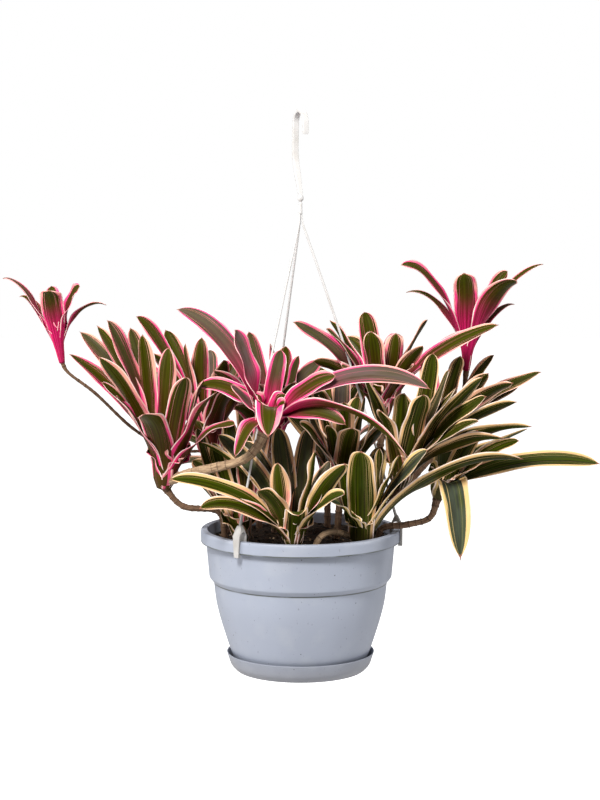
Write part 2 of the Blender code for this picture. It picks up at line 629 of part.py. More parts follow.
# ---------------------------------------------------------------- hanger
def hook_line():
    """The hook's centre line in its own plane: out toward the tip, and up."""
    half = HOOK_THICK / 2
    centre = HOOK_TOP + half - HOOK_RADIUS
    shank = smooth_route([(0.0, SHANK_FOOT), (-0.42 * HOOK_RADIUS, SHANK_FOOT + 0.020),
                          (-0.95 * HOOK_RADIUS, SHANK_FOOT + 0.045),
                          (-HOOK_RADIUS - SHANK_BOW, SHANK_FOOT + 0.065), (-HOOK_RADIUS, centre)], 11)
    angles = np.linspace(math.pi, 0.0, 11)[1:]
    arch = np.stack([HOOK_RADIUS * np.cos(angles), centre + HOOK_RADIUS * np.sin(angles)], axis=1)
    tip = np.array([(HOOK_RADIUS * 1.04, centre - HOOK_TIP_DROP)])
    return np.vstack([shank, arch, tip])


def band_outline(line, thickness):
    """The outline of a band of even thickness along a flat line."""
    along = np.gradient(line, axis=0)
    along /= np.linalg.norm(along, axis=1)[:, None]
    side = np.stack([-along[:, 1], along[:, 0]], axis=1) * thickness / 2
    return [*map(tuple, line + side), *map(tuple, (line - side)[::-1])]


def stand_up(obj, heading):
    """Turns a mesh drawn in XY into the vertical plane that faces a heading from the front."""
    turn = math.radians(heading)
    out = Vector((math.sin(turn), -math.cos(turn), 0.0))
    across = Vector((0.0, 0.0, 1.0)).cross(out)
    matrix = Matrix((
        (out.x, 0.0, across.x, 0.0),
        (out.y, 0.0, across.y, 0.0),
        (0.0, 1.0, 0.0, 0.0),
        (0.0, 0.0, 0.0, 1.0)))
    obj.data.transform(matrix)
    if matrix.determinant() < 0:
        obj.data.flip_normals()
    return obj


def make_hook(collection, cutters):
    outline = band_outline(hook_line(), HOOK_THICK)
    strap = stand_up(extruded_outline("strap", outline, HOOK_WIDTH, collection), HOOK_TURN)
    knob_z = SHANK_FOOT - KNOB_SEAT * KNOB_HEIGHT
    bpy.ops.mesh.primitive_uv_sphere_add(segments=12, ring_count=8, radius=1.0, location=(0, 0, 0))
    knob = bpy.context.object
    knob.data.transform(Matrix.Diagonal((KNOB_RADIUS, KNOB_RADIUS, KNOB_HEIGHT / 2, 1.0)))
    knob.data.transform(Matrix.Translation((0.0, 0.0, knob_z)))
    bpy.ops.mesh.primitive_cylinder_add(vertices=12, radius=NECK_RADIUS, depth=NECK_LENGTH)
    neck = bpy.context.object
    neck.data.transform(Matrix.Translation((0.0, 0.0, knob_z - NECK_LENGTH / 2)))
    return union("hanger_hook", strap, [knob, neck], collection, cutters)


def neck_foot():
    return SHANK_FOOT - KNOB_SEAT * KNOB_HEIGHT - NECK_LENGTH


def clip_outline():
    """The fork that straddles the rim, drawn as radius and height."""
    outer = RIM_RADIUS + GAP
    inner = inner_radius(RIM_TOP - CLIP_INNER_DROP)
    inner -= GAP + facet_sag(inner) + CLIP_WIDTH**2 / (8 * inner)
    crotch = RIM_TOP + CLIP_HEADROOM
    head = crotch + CLIP_HEAD
    middle = (outer + inner) / 2
    toe_top = RIM_TOP - RIM_SKIRT - GAP
    toe_low = toe_top - CLIP_TOE
    toe_in = outer - GAP - CLIP_TOE_REACH
    half = (outer - inner) / 2
    angles = np.linspace(0.0, math.pi, 7)
    arch = [(middle + half * math.cos(a), crotch - half + half * math.sin(a)) for a in angles]
    return [
        (outer + CLIP_THICK, toe_low), (outer + CLIP_THICK, crotch - half),
        (middle + 0.8 * half, crotch + 0.35 * CLIP_HEAD), (middle + ARM_RADIUS * 1.3, head),
        (middle - ARM_RADIUS * 1.3, head), (middle - 0.8 * half, crotch + 0.35 * CLIP_HEAD),
        (inner - CLIP_THICK, crotch - half), (inner - CLIP_THICK, RIM_TOP - CLIP_INNER_DROP),
        (inner, RIM_TOP - CLIP_INNER_DROP), *reversed(arch), (outer, toe_top),
        (toe_in, toe_top), (toe_in, toe_low)]


def make_arm(name, heading, collection, cutters):
    """A straight rod from the hanger's neck down to the fork that clips over the rim."""
    clip = stand_up(extruded_outline("clip", clip_outline(), CLIP_WIDTH, collection), heading)
    turn = math.radians(heading)
    out = Vector((math.sin(turn), -math.cos(turn), 0.0))
    top = neck_foot() - GAP
    apart = ARM_TOP_RADIUS / math.sin(math.pi / 3) + GAP
    seat = RIM_TOP + CLIP_HEADROOM + 0.4 * CLIP_HEAD
    middle = (RIM_RADIUS + wall_top() - POT_WALL) / 2
    start = out * apart + Vector((0.0, 0.0, top))
    bend = out * (apart + ARM_RADIUS - GAP) + Vector((0.0, 0.0, top - ARM_STRAIGHT))
    end = out * middle + Vector((0.0, 0.0, seat))
    bowed = [bend.lerp(end, share) + out * ARM_BOW * math.sin(math.pi * share)
             for share in (0.25, 0.5, 0.75)]
    points = [start, bend, *bowed, end]
    radii = np.interp(range(len(points)), (0, 2), (ARM_TOP_RADIUS, ARM_RADIUS))
    arm = rod(name + "_rod", points, radii, collection)
    return union(name, clip, [arm], collection, cutters)


# ---------------------------------------------------------------- plant
def crown_axis(name):
    lean_x, lean_y = CROWNS[name][1]
    return Vector((lean_x, lean_y, 1.0)).normalized()


def crown_core(name, collection):
    """The closed sheath that a rosette's leaves grow from: a small vase, widest near its top."""
    base, _, (foot, top), height = CROWNS[name]
    profile = [(0.0, height), (0.6 * top, 0.98 * height), (top, CORE_SHOULDER * height),
               (0.5 * (foot + top), CORE_MIDDLE * height), (foot, 0.0), (0.0, 0.0)]
    core = turned(name + "_core", profile, collection, CROWN_SIDES)
    mesh = evaluated_mesh(core)
    bpy.data.objects.remove(core, do_unlink=True)
    turn = Vector((0.0, 0.0, 1.0)).rotation_difference(crown_axis(name)).to_matrix().to_4x4()
    mesh.transform(Matrix.Translation(Vector(base)) @ turn)
    return add_mesh_object(name + "_core", mesh, collection)


def leaf_roll(number, heading, t):
    """How far a blade has turned about its own line: most on the flanks, every third the other way."""
    way = -1.0 if number % 3 == 2 else 1.0
    return math.radians(ROLL) * way * heading[0] * np.clip(t / 0.45, 0, 1)**2


def leaf_line(crown, number, shift, shrink, stations):
    """Centre points, tangents and width direction of a leaf: a cubic Bezier from axis to tip."""
    base, _, (foot, _), height = CROWNS[crown]
    leaf = LEAVES[crown][number]
    axis = np.array(crown_axis(crown))
    tip_x, tip_y, tip_z, _, arch, rise = leaf
    root = np.array(base) + axis * 0.35 * height
    reach = (np.array((tip_x, tip_y, tip_z)) - root) * LEAF_SCALE * shrink
    heading = reach - axis * reach.dot(axis)
    heading /= max(np.linalg.norm(heading), 1e-6)
    length = np.linalg.norm(reach)
    tip = root + reach + shift
    p0 = root + heading * LEAF_ROOT_SHARE * foot
    p1 = p0 + axis * rise * length + heading * 0.10 * length + shift * 0.15
    p2 = 0.42 * p1 + 0.58 * tip + np.array((0.0, 0.0, arch * length))
    t = np.array(stations)[:, None]
    centre = p0 * (1 - t)**3 + 3 * p1 * t * (1 - t)**2 + 3 * p2 * t**2 * (1 - t) + tip * t**3
    slope = 3 * (p1 - p0) * (1 - t)**2 + 6 * (p2 - p1) * t * (1 - t) + 3 * (tip - p2) * t**2
    slope /= np.linalg.norm(slope, axis=1)[:, None]
    across = np.cross(axis, heading)
    across = across - slope * (slope @ across)[:, None]
    across /= np.linalg.norm(across, axis=1)[:, None]
    roll = leaf_roll(number, heading, t)
    across = across * np.cos(roll) + np.cross(slope, across) * np.sin(roll)
    return centre, slope, across


def leaf_width(crown, t, width):
    """An even strap, rounded off abruptly to its tip; a pup's narrow leaves taper instead."""
    foot = np.interp(t, (0.0, FOOT_REACH), (FOOT_WIDTH, 1.0))
    if crown.startswith("pup") and width < PUP_STRAP:
        return width * WIDTH_SCALE * foot * (1 - t**1.7)**0.85
    return width * WIDTH_SCALE * foot * (1 - t**8)**0.6


def leaf_solid(crown, number, shift, shrink, spare=0.0):
    """Points and faces of one leaf: a keeled blade, three corners a station, closed at its tip.

    Each twisted side is split along the diagonal that bulges outward, so thin edges stay whole.
    """
    stations = (*LEAF_STATIONS, 1.0)
    centre, slope, across = leaf_line(crown, number, shift, shrink, stations)
    t = np.array(stations)
    inner = np.cross(slope, across)
    half = leaf_width(crown, t, LEAVES[crown][number][3])[:, None] / 2
    keel = LEAF_THICK + half * np.interp(t, (0, 0.3, 1), KEEL_SHARE)[:, None]
    rings = np.stack([centre + across * (half + 2 * spare) + inner * spare,
                      centre - across * (half + 2 * spare) + inner * spare,
                      centre - inner * (keel + 2 * spare)], axis=1)[:-1]
    tip = centre[-1] + slope[-1] * spare
    points = np.vstack([rings.reshape(-1, 3), tip])
    faces = [(2, 1, 0)]
    count = len(LEAF_STATIONS)
    for row in range(count - 1):
        for k in range(3):
            a = 3 * row + k
            b = 3 * row + (k + 1) % 3
            low, near, far, high = points[[a, b, b + 3, a + 3]]
            bulge = (low + far - near - high) @ np.cross(far - low, high - near)
            if bulge > 0:
                faces += [(a, b, b + 3), (a, b + 3, a + 3)]
            else:
                faces += [(a, b, a + 3), (b, b + 3, a + 3)]
    last = 3 * (count - 1)
    faces += [(last + k, last + (k + 1) % 3, 3 * count) for k in range(3)]
    return points, faces


def tree_from(points, faces):
    return BVHTree.FromPolygons([tuple(p) for p in points], faces)


def ways_aside(reach):
    """Shifts to try for a crowded leaf, nearest first, with a shorter leaf as the last resort."""
    heading = Vector(reach).normalized()
    side = heading.orthogonal().normalized()
    yield np.zeros(3), 1.0
    for shrink in (1.0, 0.88, 0.75, 0.6, 0.45):
        for size in (0.006, 0.012, 0.020, 0.030, 0.042, 0.056):
            for step in range(8):
                way = Matrix.Rotation(step * math.pi / 4, 3, heading) @ side
                yield np.array(way) * size, shrink


def grow(crown, number, taken):
    """The first place near the listed one where the leaf clears everything that is not its own."""
    base = np.array(CROWNS[crown][0])
    for shift, shrink in ways_aside(np.array(LEAVES[crown][number][:3]) - base):
        blade = tree_from(*leaf_solid(crown, number, shift, shrink, LEAF_CLEAR))
        if not any(blade.overlap(tree) for owner, tree in taken if owner != crown):
            return shift, shrink
    return None


def stem_end(end, radius):
    """Where a stem ends, and the direction in which it arrives there."""
    if end[0] == "soil":
        x, y = end[1:]
        return Vector((x, y, soil_top(x, y) + GAP)), Vector((0.0, 0.0, -1.0))
    base, _, (foot, top), height = CROWNS[end[1]]
    axis = crown_axis(end[1])
    if end[0] == "foot":
        return Vector(base) - axis * GAP, axis
    turn = math.radians(end[2])
    out = Vector((math.sin(turn), -math.cos(turn), 0.0))
    out = (out - axis * out.dot(axis)).normalized()
    level = SIDE_LEVEL * height + radius
    widths = (foot, 0.5 * (foot + top), top)
    reach = float(np.interp(level + radius, (0, CORE_MIDDLE * height, CORE_SHOULDER * height), widths))
    return Vector(base) + axis * level + out * (reach + GAP), -out


def make_stem(name, collection):
    radius, start, between, finish = STEMS[name]
    first, into = stem_end(start, radius)
    last, arrive = stem_end(finish, radius)
    count = 4 + 3 * len(between)
    points = smooth_route([first, *between, last], count)
    points[1] = points[0] - np.array(into) * np.linalg.norm(points[1] - points[0])
    points[-2] = points[-1] - np.array(arrive) * np.linalg.norm(points[-1] - points[-2])
    left = np.linalg.norm(points - points[-1], axis=1)
    swell = 1 + 0.12 * np.sin(np.arange(count) * 2.3)
    if finish[0] == "foot":
        swell += HEEL_SWELL * np.exp(-(left / HEEL_LENGTH)**2)
    return rod(name, points, radius * swell, collection)


def main():
    clear_scene()
    parts = new_collection("potted_bromeliad")
    cutters = new_collection("cutters")
    cutters.hide_render = True

    plastic = principled("pot_plastic", COLOURS["pot"], 0.35)
    dish = principled("saucer_plastic", COLOURS["saucer"], 0.4)
    earth = principled("soil", COLOURS["soil"], 0.95)
    white = principled("hanger_plastic", COLOURS["hanger"], 0.4)
    blade = principled("leaf", COLOURS["leaf"], 0.4)
    flushed = principled("leaf_flushed", COLOURS["pup"], 0.4)
    bark = principled("stem", COLOURS["stem"], 0.8)

    made = [(make_pot(parts, cutters), plastic), (make_saucer(parts), dish), (make_soil(parts), earth),
            (make_hook(parts, cutters), white)]
    for side, heading in ARM_HEADINGS.items():
        made.append((make_arm("hanger_arm_" + side, heading, parts, cutters), white))
    made += [(make_stem(name, parts), bark) for name in STEMS]

    bpy.context.view_layer.update()
    taken = [(obj.name, tree_of(obj)) for obj, _ in made if obj.type == "MESH" and not obj.modifiers]
    for obj, _ in made[:3]:
        mesh = evaluated_mesh(obj)
        taken.append((obj.name, tree_from([v.co for v in mesh.vertices],
                                          [tuple(p.vertices) for p in mesh.polygons])))
        bpy.data.meshes.remove(mesh)

    cores = {name: crown_core(name, parts) for name in CROWNS}
    bpy.context.view_layer.update()
    taken += [(name, tree_of(core)) for name, core in cores.items()]

    for name, core in cores.items():
        blades = []
        for number in range(len(LEAVES[name])):
            place = grow(name, number, taken)
            if place is None:
                continue
            points, faces = leaf_solid(name, number, *place)
            taken.append((name, tree_from(points, faces)))
            blades.append(add_mesh_object(f"{name}_leaf_{number}", mesh_from("leaf", points, faces), parts))
        crown = union(name, core, blades, parts, cutters)
        made.append((crown, flushed if name.startswith("pup") else blade))

    holder = bpy.data.objects.new("hanging_point", None)
    parts.objects.link(holder)
    holder.location = (0.0, 0.0, -HOOK_TOP)
    for obj, material in made:
        obj.data.materials.clear()
        obj.data.materials.append(material)
        obj.parent = holder


main()
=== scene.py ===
"""Looks of a clump of variegated Neoregelia rosettes in a hanging pot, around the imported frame.

Heights in the tables are above the saucer's underside; GROUND lowers them into the frame, whose
origin is where the hook bears. X is to the right, -Y is the front.
"""

import math

import bpy
import numpy as np
from mathutils import Matrix, Vector


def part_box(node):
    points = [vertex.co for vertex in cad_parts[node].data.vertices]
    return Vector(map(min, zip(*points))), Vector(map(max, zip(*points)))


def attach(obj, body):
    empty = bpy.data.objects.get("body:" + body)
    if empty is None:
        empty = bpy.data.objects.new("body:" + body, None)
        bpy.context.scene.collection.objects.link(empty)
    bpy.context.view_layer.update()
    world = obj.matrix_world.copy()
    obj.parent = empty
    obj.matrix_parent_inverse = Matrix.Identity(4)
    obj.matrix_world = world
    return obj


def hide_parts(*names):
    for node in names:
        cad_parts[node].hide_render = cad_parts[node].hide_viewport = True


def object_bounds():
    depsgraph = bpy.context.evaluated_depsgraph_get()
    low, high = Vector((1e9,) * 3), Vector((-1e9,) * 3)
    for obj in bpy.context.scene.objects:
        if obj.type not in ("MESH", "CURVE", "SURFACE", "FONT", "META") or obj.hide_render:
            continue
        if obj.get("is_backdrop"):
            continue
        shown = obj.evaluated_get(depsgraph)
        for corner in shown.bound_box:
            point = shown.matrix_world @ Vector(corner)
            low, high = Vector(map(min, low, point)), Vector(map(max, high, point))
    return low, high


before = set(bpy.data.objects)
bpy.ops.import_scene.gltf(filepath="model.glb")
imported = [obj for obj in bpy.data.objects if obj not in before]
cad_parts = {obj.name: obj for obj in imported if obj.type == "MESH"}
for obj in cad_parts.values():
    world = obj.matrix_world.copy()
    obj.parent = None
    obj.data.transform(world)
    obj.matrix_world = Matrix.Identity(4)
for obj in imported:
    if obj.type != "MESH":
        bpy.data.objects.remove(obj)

CAD_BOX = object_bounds()

# ---------------------------- sizes, in metres
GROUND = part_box("saucer")[0].z
RIM_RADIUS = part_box("pot")[1].x
RIM_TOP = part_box("pot")[1].z - GROUND
SAUCER_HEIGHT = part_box("saucer")[1].z - GROUND

GAP = 0.0003
RIM_SKIRT = 0.017
SKIRT_WALL = 0.0022
RIM_OVERHANG = 0.0070
POT_WALL = 0.0022
UPPER_TAPER = 0.0046
STEP_HEIGHT = 0.131
STEP_DEPTH = 0.0062
STEP_DROP = 0.0075
FOOT_RADIUS = 0.083
POT_FLOOR = 0.0024
BOWL = ((0.08, 0.19), (0.23, 0.39), (0.38, 0.555), (0.59, 0.765), (0.78, 0.912), (1.0, 1.0))
SAUCER_FLOOR = 0.002
SAUCER_WALL = 0.0018
SAUCER_CLEARANCE = 0.0050
SAUCER_CORNER = 0.008
PLASTIC_ROUGHNESS = 0.36
SOIL_DEPTH = 0.015
SOIL_CROWN = 0.004
SOIL_LUMPS = ((0.0040, 0.016), (0.0030, 0.0065), (0.0020, 0.0030))  # height and cell of each size
SOIL_EDGE = RIM_TOP - SOIL_DEPTH
LOW_SEAT = SOIL_EDGE + 0.0035   # where the low rosettes start
LOWER_SEAT = SOIL_EDGE + 0.0028

HOOK_TOP = -GROUND
HOOK_RADIUS = 0.0175
HOOK_THICK = 0.0045
HOOK_WIDTH = 0.0086
HOOK_TIP_DROP = 0.014
HOOK_TURN = 22.0
SHANK_BOW = 0.0015
SHANK_FOOT = 0.654
KNOB_RADIUS = 0.0042
KNOB_HEIGHT = 0.0108
NECK_RADIUS = 0.0026
NECK_LENGTH = 0.022
ARM_RADIUS = 0.0016
ARM_TOP_RADIUS = 0.0011
ARM_HEADINGS = {"front": -37.6, "right": 82.4, "back": 202.4}
CLIP_WIDTH = 0.012
CLIP_THICK = 0.003
CLIP_HEADROOM = 0.0125
CLIP_HEAD = 0.0085
CLIP_TOE = 0.004
CLIP_TOE_REACH = 0.0022
CLIP_INNER_DROP = 0.011
CLIP_BEVEL = 0.0005
ARM_BOW = 0.004

TURN_STEPS = 144            # facets round a turned piece
PROFILE_STEP = 0.003        # longest run between two rings of a turned piece
LEAF_ROWS = 34
SHEATH_ROWS = 6
LEAF_COLUMNS = 13
BLADE_THICK = 0.0013
BLADE_EDGE = 0.0004
KEEL_SHARE = (0.55, 0.30, 0.24)  # the fold's depth against half the width, at foot, 0.3 and tip
RIPPLE = 0.15               # height of the margins' ripples against half the width
LEAF_ROOT_SHARE = 0.55      # where a leaf leaves the axis, against the rosette's foot radius
LEAF_ROOT_LEVEL = 0.35      # and its level, against the rosette's height
SHEATH_START = -0.16        # a leaf's place along itself: its sheath's foot; 0 is its root, 1 its tip
WIDTH_SCALE = 1.2           # width of every leaf against its listed one
PUP_STRAP = 0.019           # listed width from which a pup's leaf is a blunt strap
HEEL_SWELL = 0.45           # how much a stem thickens where it meets its rosette's foot
HEEL_LENGTH = 0.012
STEM_SIDES = 16
ASIDE_SHRINKS = (1.0, 0.88, 0.75, 0.6, 0.45)
ASIDE_SIZES = (0.006, 0.012, 0.020, 0.030, 0.042, 0.056)
BRACTS = 5
GOLDEN_ANGLE = math.radians(137.5)
ASIDE_MATCH = 0.0001        # how near the frame's corner a leaf's tip has to come
STEM_DEPTH = 0.003          # how far a stem is sunk in the soil
ROLL = 42.0                 # degrees that a blade on the plant's flank turns a face to the front

# Each rosette: base point, lean of its axis (x and y for z = 1), radius at foot and at top, height,
# and its colour: how far it is flushed, how pink its margins are (0 is cream yellow).
CROWNS = {
    "crown_front": ((-0.047, -0.098, 0.345), (0.18, -0.20), (0.009, 0.015), 0.034, (0.95, 1.00)),
    "crown_left": ((-0.186, -0.035, 0.258), (0.12, -0.05), (0.013, 0.021), 0.050, (0.58, 0.88)),
    "crown_low_right": ((0.082, -0.060, LOWER_SEAT), (0.05, -0.12), (0.011, 0.017), 0.036, (0.04, 0.16)),
    "crown_low_front": ((-0.010, -0.088, LOW_SEAT), (0.02, -0.12), (0.011, 0.017), 0.036, (0.08, 0.34)),
    "crown_right": ((0.134, -0.050, 0.262), (0.10, -0.10), (0.010, 0.017), 0.040, (0.18, 0.30)),
    "crown_upper_right": ((0.112, 0.018, 0.345), (0.00, -0.05), (0.011, 0.018), 0.040, (0.55, 0.78)),
    "pup_left": ((-0.327, 0.010, 0.424), (-0.16, -0.06), (0.0050, 0.0120), 0.060, (1.00, 1.00)),
    "pup_right": ((0.230, 0.045, 0.410), (0.04, -0.06), (0.0065, 0.0115), 0.064, (1.00, 1.00)),
    "crown_far_right": ((0.186, -0.040, 0.246), (0.22, -0.12), (0.010, 0.015), 0.034, (0.04, 0.25)),
    "crown_back_right": ((0.182, 0.045, 0.290), (0.12, 0.10), (0.010, 0.016), 0.038, (0.30, 0.55)),
    "crown_centre": ((0.055, -0.024, 0.250), (0.05, -0.20), (0.010, 0.016), 0.038, (0.22, 0.40)),
    "crown_upper_left": ((-0.128, 0.040, 0.290), (-0.02, -0.02), (0.011, 0.018), 0.042, (0.70, 0.90)),
    "crown_middle": ((-0.038, 0.022, 0.300), (-0.05, -0.10), (0.010, 0.016), 0.040, (0.85, 0.92)),
    "crown_low_left": ((-0.078, -0.050, LOW_SEAT), (-0.15, -0.05), (0.010, 0.016), 0.034, (0.12, 0.42)),
    "crown_back": ((0.040, 0.085, 0.250), (0.05, 0.25), (0.010, 0.016), 0.038, (0.45, 0.65)),
    "crown_back_left": ((-0.068, 0.085, 0.215), (-0.20, 0.30), (0.010, 0.016), 0.036, (0.30, 0.55)),
}

# Each leaf, in millimetres: tip x, y, z and width; then, in hundredths of its length: arch (lift of
# the outer half) and rise (how far it follows the rosette's axis).
LEAF_UNITS = (1000, 1000, 1000, 1000, 100, 100)
LEAVES = {
    "crown_front": (
        (-166, -60, 503, 25, 20, 30), (-86, -130, 482, 26, 10, 34), (-42, -176, 344, 32, 62, 45),
        (47, -125, 420, 22, 12, 30), (172, -130, 402, 23, 22, 25), (140, -175, 318, 26, 30, 22),
        (60, -150, 358, 22, 22, 18), (-92, -120, 408, 14, 5, 20), (-86, -150, 315, 28, 42, 20),
        (-26, -85, 452, 20, 2, 42), (-140, -50, 400, 22, 16, 24),
    ),
    "crown_left": (
        (-312, -50, 443, 22, 6, 36), (-303, 10, 468, 22, 7, 36), (-275, -35, 480, 26, 7, 38),
        (-258, -70, 490, 28, 9, 40), (-232, -10, 475, 24, 8, 42), (-266, -110, 445, 24, 7, 34),
        (-262, -120, 412, 24, 7, 30), (-245, -105, 392, 24, 10, 28), (-212, -55, 470, 24, 5, 45),
        (-108, -105, 392, 27, 20, 30), (-85, -120, 350, 24, 20, 22), (-150, -130, 420, 24, 10, 36),
        (-175, -80, 455, 24, 4, 45), (-118, -75, 405, 26, 16, 36), (-205, -140, 372, 30, 10, 40),
    ),
    "crown_low_right": (
        (80, -130, 322, 34, 6, 40), (106, -84, 320, 28, 3, 45), (296, -110, 308, 27, 16, 26),
        (130, -110, 314, 26, 6, 40), (38, -130, 255, 22, 16, 30), (58, -86, 300, 26, 6, 38),
        (110, -30, 315, 24, 10, 36), (168, -122, 322, 28, 8, 34),
    ),
    "crown_low_front": (
        (-175, -110, 284, 20, 12, 26), (-134, -140, 246, 22, 24, 18), (-136, -45, 323, 22, 8, 32),
        (-112, -60, 335, 22, 6, 36), (-76, -50, 325, 22, 5, 38), (-30, -110, 304, 26, 2, 45),
        (18, -128, 322, 26, 4, 42), (40, -112, 306, 26, 5, 38), (60, -130, 305, 26, 8, 32),
        (-3, -162, 240, 26, 34, 34), (58, -155, 268, 22, 14, 32), (-55, -145, 272, 24, 16, 34),
        (12, -60, 345, 24, 6, 40), (-30, -62, 345, 26, 4, 42),
    ),
    "crown_right": (
        (178, -60, 446, 24, 4, 42), (198, -90, 426, 27, 5, 38), (244, -70, 414, 24, 6, 32),
        (162, -120, 396, 28, 5, 40), (246, -110, 392, 24, 8, 28), (291, -70, 380, 22, 10, 26),
        (234, -135, 362, 24, 10, 24), (137, -110, 397, 28, 3, 42), (308, -100, 350, 22, 12, 22),
        (105, -130, 375, 26, 12, 32), (85, -80, 412, 24, 6, 38), (268, -125, 338, 22, 14, 20),
        (206, -115, 405, 28, 6, 36),
    ),
    "crown_upper_right": (
        (-11, -20, 479, 28, 10, 30), (34, -40, 476, 22, 8, 34), (40, 30, 482, 22, 8, 36),
        (96, -30, 472, 28, 3, 45), (88, 50, 492, 24, 10, 45), (176, 40, 482, 22, 12, 36),
        (239, -10, 470, 14, 12, 30), (268, -40, 481, 24, 8, 28), (166, -30, 452, 20, 8, 36),
        (140, 120, 455, 24, 12, 36), (60, 130, 450, 24, 14, 34), (130, -10, 468, 24, 2, 46),
        (55, -60, 425, 24, 16, 30), (150, -60, 425, 22, 14, 32), (16, 0, 428, 22, 16, 28),
    ),
    "pup_left": (
        (-403, -20, 542, 18, 18, 50), (-387, 30, 514, 14, 22, 46), (-338, -38, 527, 26, 10, 62),
        (-343, 30, 529, 20, 5, 60), (-299, -15, 531, 20, 14, 56), (-266, 20, 503, 14, 26, 44),
    ),
    "pup_right": (
        (136, 0, 559, 20, 20, 46), (146, 55, 518, 14, 22, 44), (222, -5, 549, 28, 6, 58),
        (286, 40, 549, 20, 12, 48), (332, 10, 560, 18, 12, 44), (292, -30, 540, 26, 12, 50),
        (297, 50, 502, 14, 20, 38),
    ),
    "crown_far_right": (
        (408, -40, 291, 23, 12, 16), (213, -108, 170, 33, 55, 34), (308, -40, 340, 22, 10, 26),
        (292, -90, 330, 22, 12, 24), (284, 10, 312, 22, 12, 24), (240, -90, 345, 24, 6, 34),
        (255, 60, 300, 22, 18, 26), (200, 20, 335, 24, 8, 36),
    ),
    "crown_back_right": (
        (268, 40, 436, 24, 5, 36), (219, 0, 436, 22, 4, 42), (258, 0, 412, 22, 6, 30),
        (336, 30, 408, 26, 8, 24), (284, 80, 400, 16, 6, 28), (250, 140, 400, 24, 12, 32),
        (180, 150, 420, 24, 12, 34), (300, 110, 350, 22, 14, 24), (290, -20, 400, 22, 10, 28),
    ),
    "crown_centre": (
        (0, -80, 378, 26, 8, 36), (24, -95, 392, 24, 6, 40), (58, -100, 384, 26, 5, 42),
        (-22, -95, 355, 24, 10, 32), (85, -80, 388, 24, 5, 42), (68, -125, 352, 26, 10, 34),
        (105, -85, 352, 24, 10, 32), (20, 40, 390, 24, 8, 36), (80, 40, 375, 24, 10, 34),
        (-20, -10, 360, 24, 12, 32), (40, -90, 350, 24, 12, 32), (120, -40, 350, 24, 10, 34),
    ),
    "crown_upper_left": (
        (-227, 30, 487, 20, 16, 40), (-158, 10, 452, 22, 2, 45), (-136, 30, 459, 22, 3, 45),
        (-104, -20, 432, 27, 8, 35), (-190, 80, 465, 22, 6, 40), (-230, 120, 400, 24, 12, 32),
        (-130, 150, 430, 24, 12, 35), (-70, 100, 455, 22, 6, 40), (-200, -10, 440, 20, 5, 40),
        (-250, 60, 430, 22, 8, 34), (-90, -50, 395, 26, 14, 34), (-60, 10, 415, 24, 12, 34),
    ),
    "crown_middle": (
        (-83, 0, 462, 24, 6, 40), (-72, 50, 465, 22, 6, 40), (-42, 10, 452, 24, 3, 45),
        (-20, 40, 446, 24, 5, 42), (-2, 0, 436, 22, 6, 38), (-128, -30, 412, 22, 12, 30),
        (-60, -70, 400, 22, 16, 32), (30, 90, 420, 22, 10, 35), (-90, 120, 420, 22, 14, 32),
        (40, -10, 412, 24, 14, 30), (-10, -60, 405, 24, 12, 34), (-90, -40, 370, 24, 18, 28),
    ),
    "crown_low_left": (
        (-74, -40, 338, 24, 3, 44), (-120, -30, 320, 22, 8, 36), (-160, -10, 275, 22, 14, 28),
        (-112, -60, 345, 22, 6, 40), (-140, 40, 290, 24, 14, 30), (-100, 20, 345, 22, 8, 38),
        (-40, -10, 340, 24, 6, 40), (-45, -30, 350, 24, 6, 40),
    ),
    "crown_back": (
        (30, 200, 400, 24, 12, 34), (90, 190, 380, 24, 12, 32), (-20, 170, 420, 22, 8, 38),
        (60, 140, 425, 22, 4, 42), (40, 250, 320, 24, 22, 26), (130, 200, 310, 22, 20, 26),
        (-30, 230, 340, 22, 18, 28), (100, 110, 400, 24, 8, 38), (10, 110, 400, 24, 6, 40),
    ),
    "crown_back_left": (
        (-130, 190, 340, 24, 14, 32), (-80, 220, 330, 24, 16, 30), (-180, 150, 310, 22, 16, 28),
        (-90, 150, 380, 22, 6, 40), (-30, 190, 290, 22, 18, 28), (-190, 200, 250, 22, 26, 24),
        (-100, 240, 230, 22, 28, 24), (-50, 90, 370, 24, 6, 40),
    ),
}

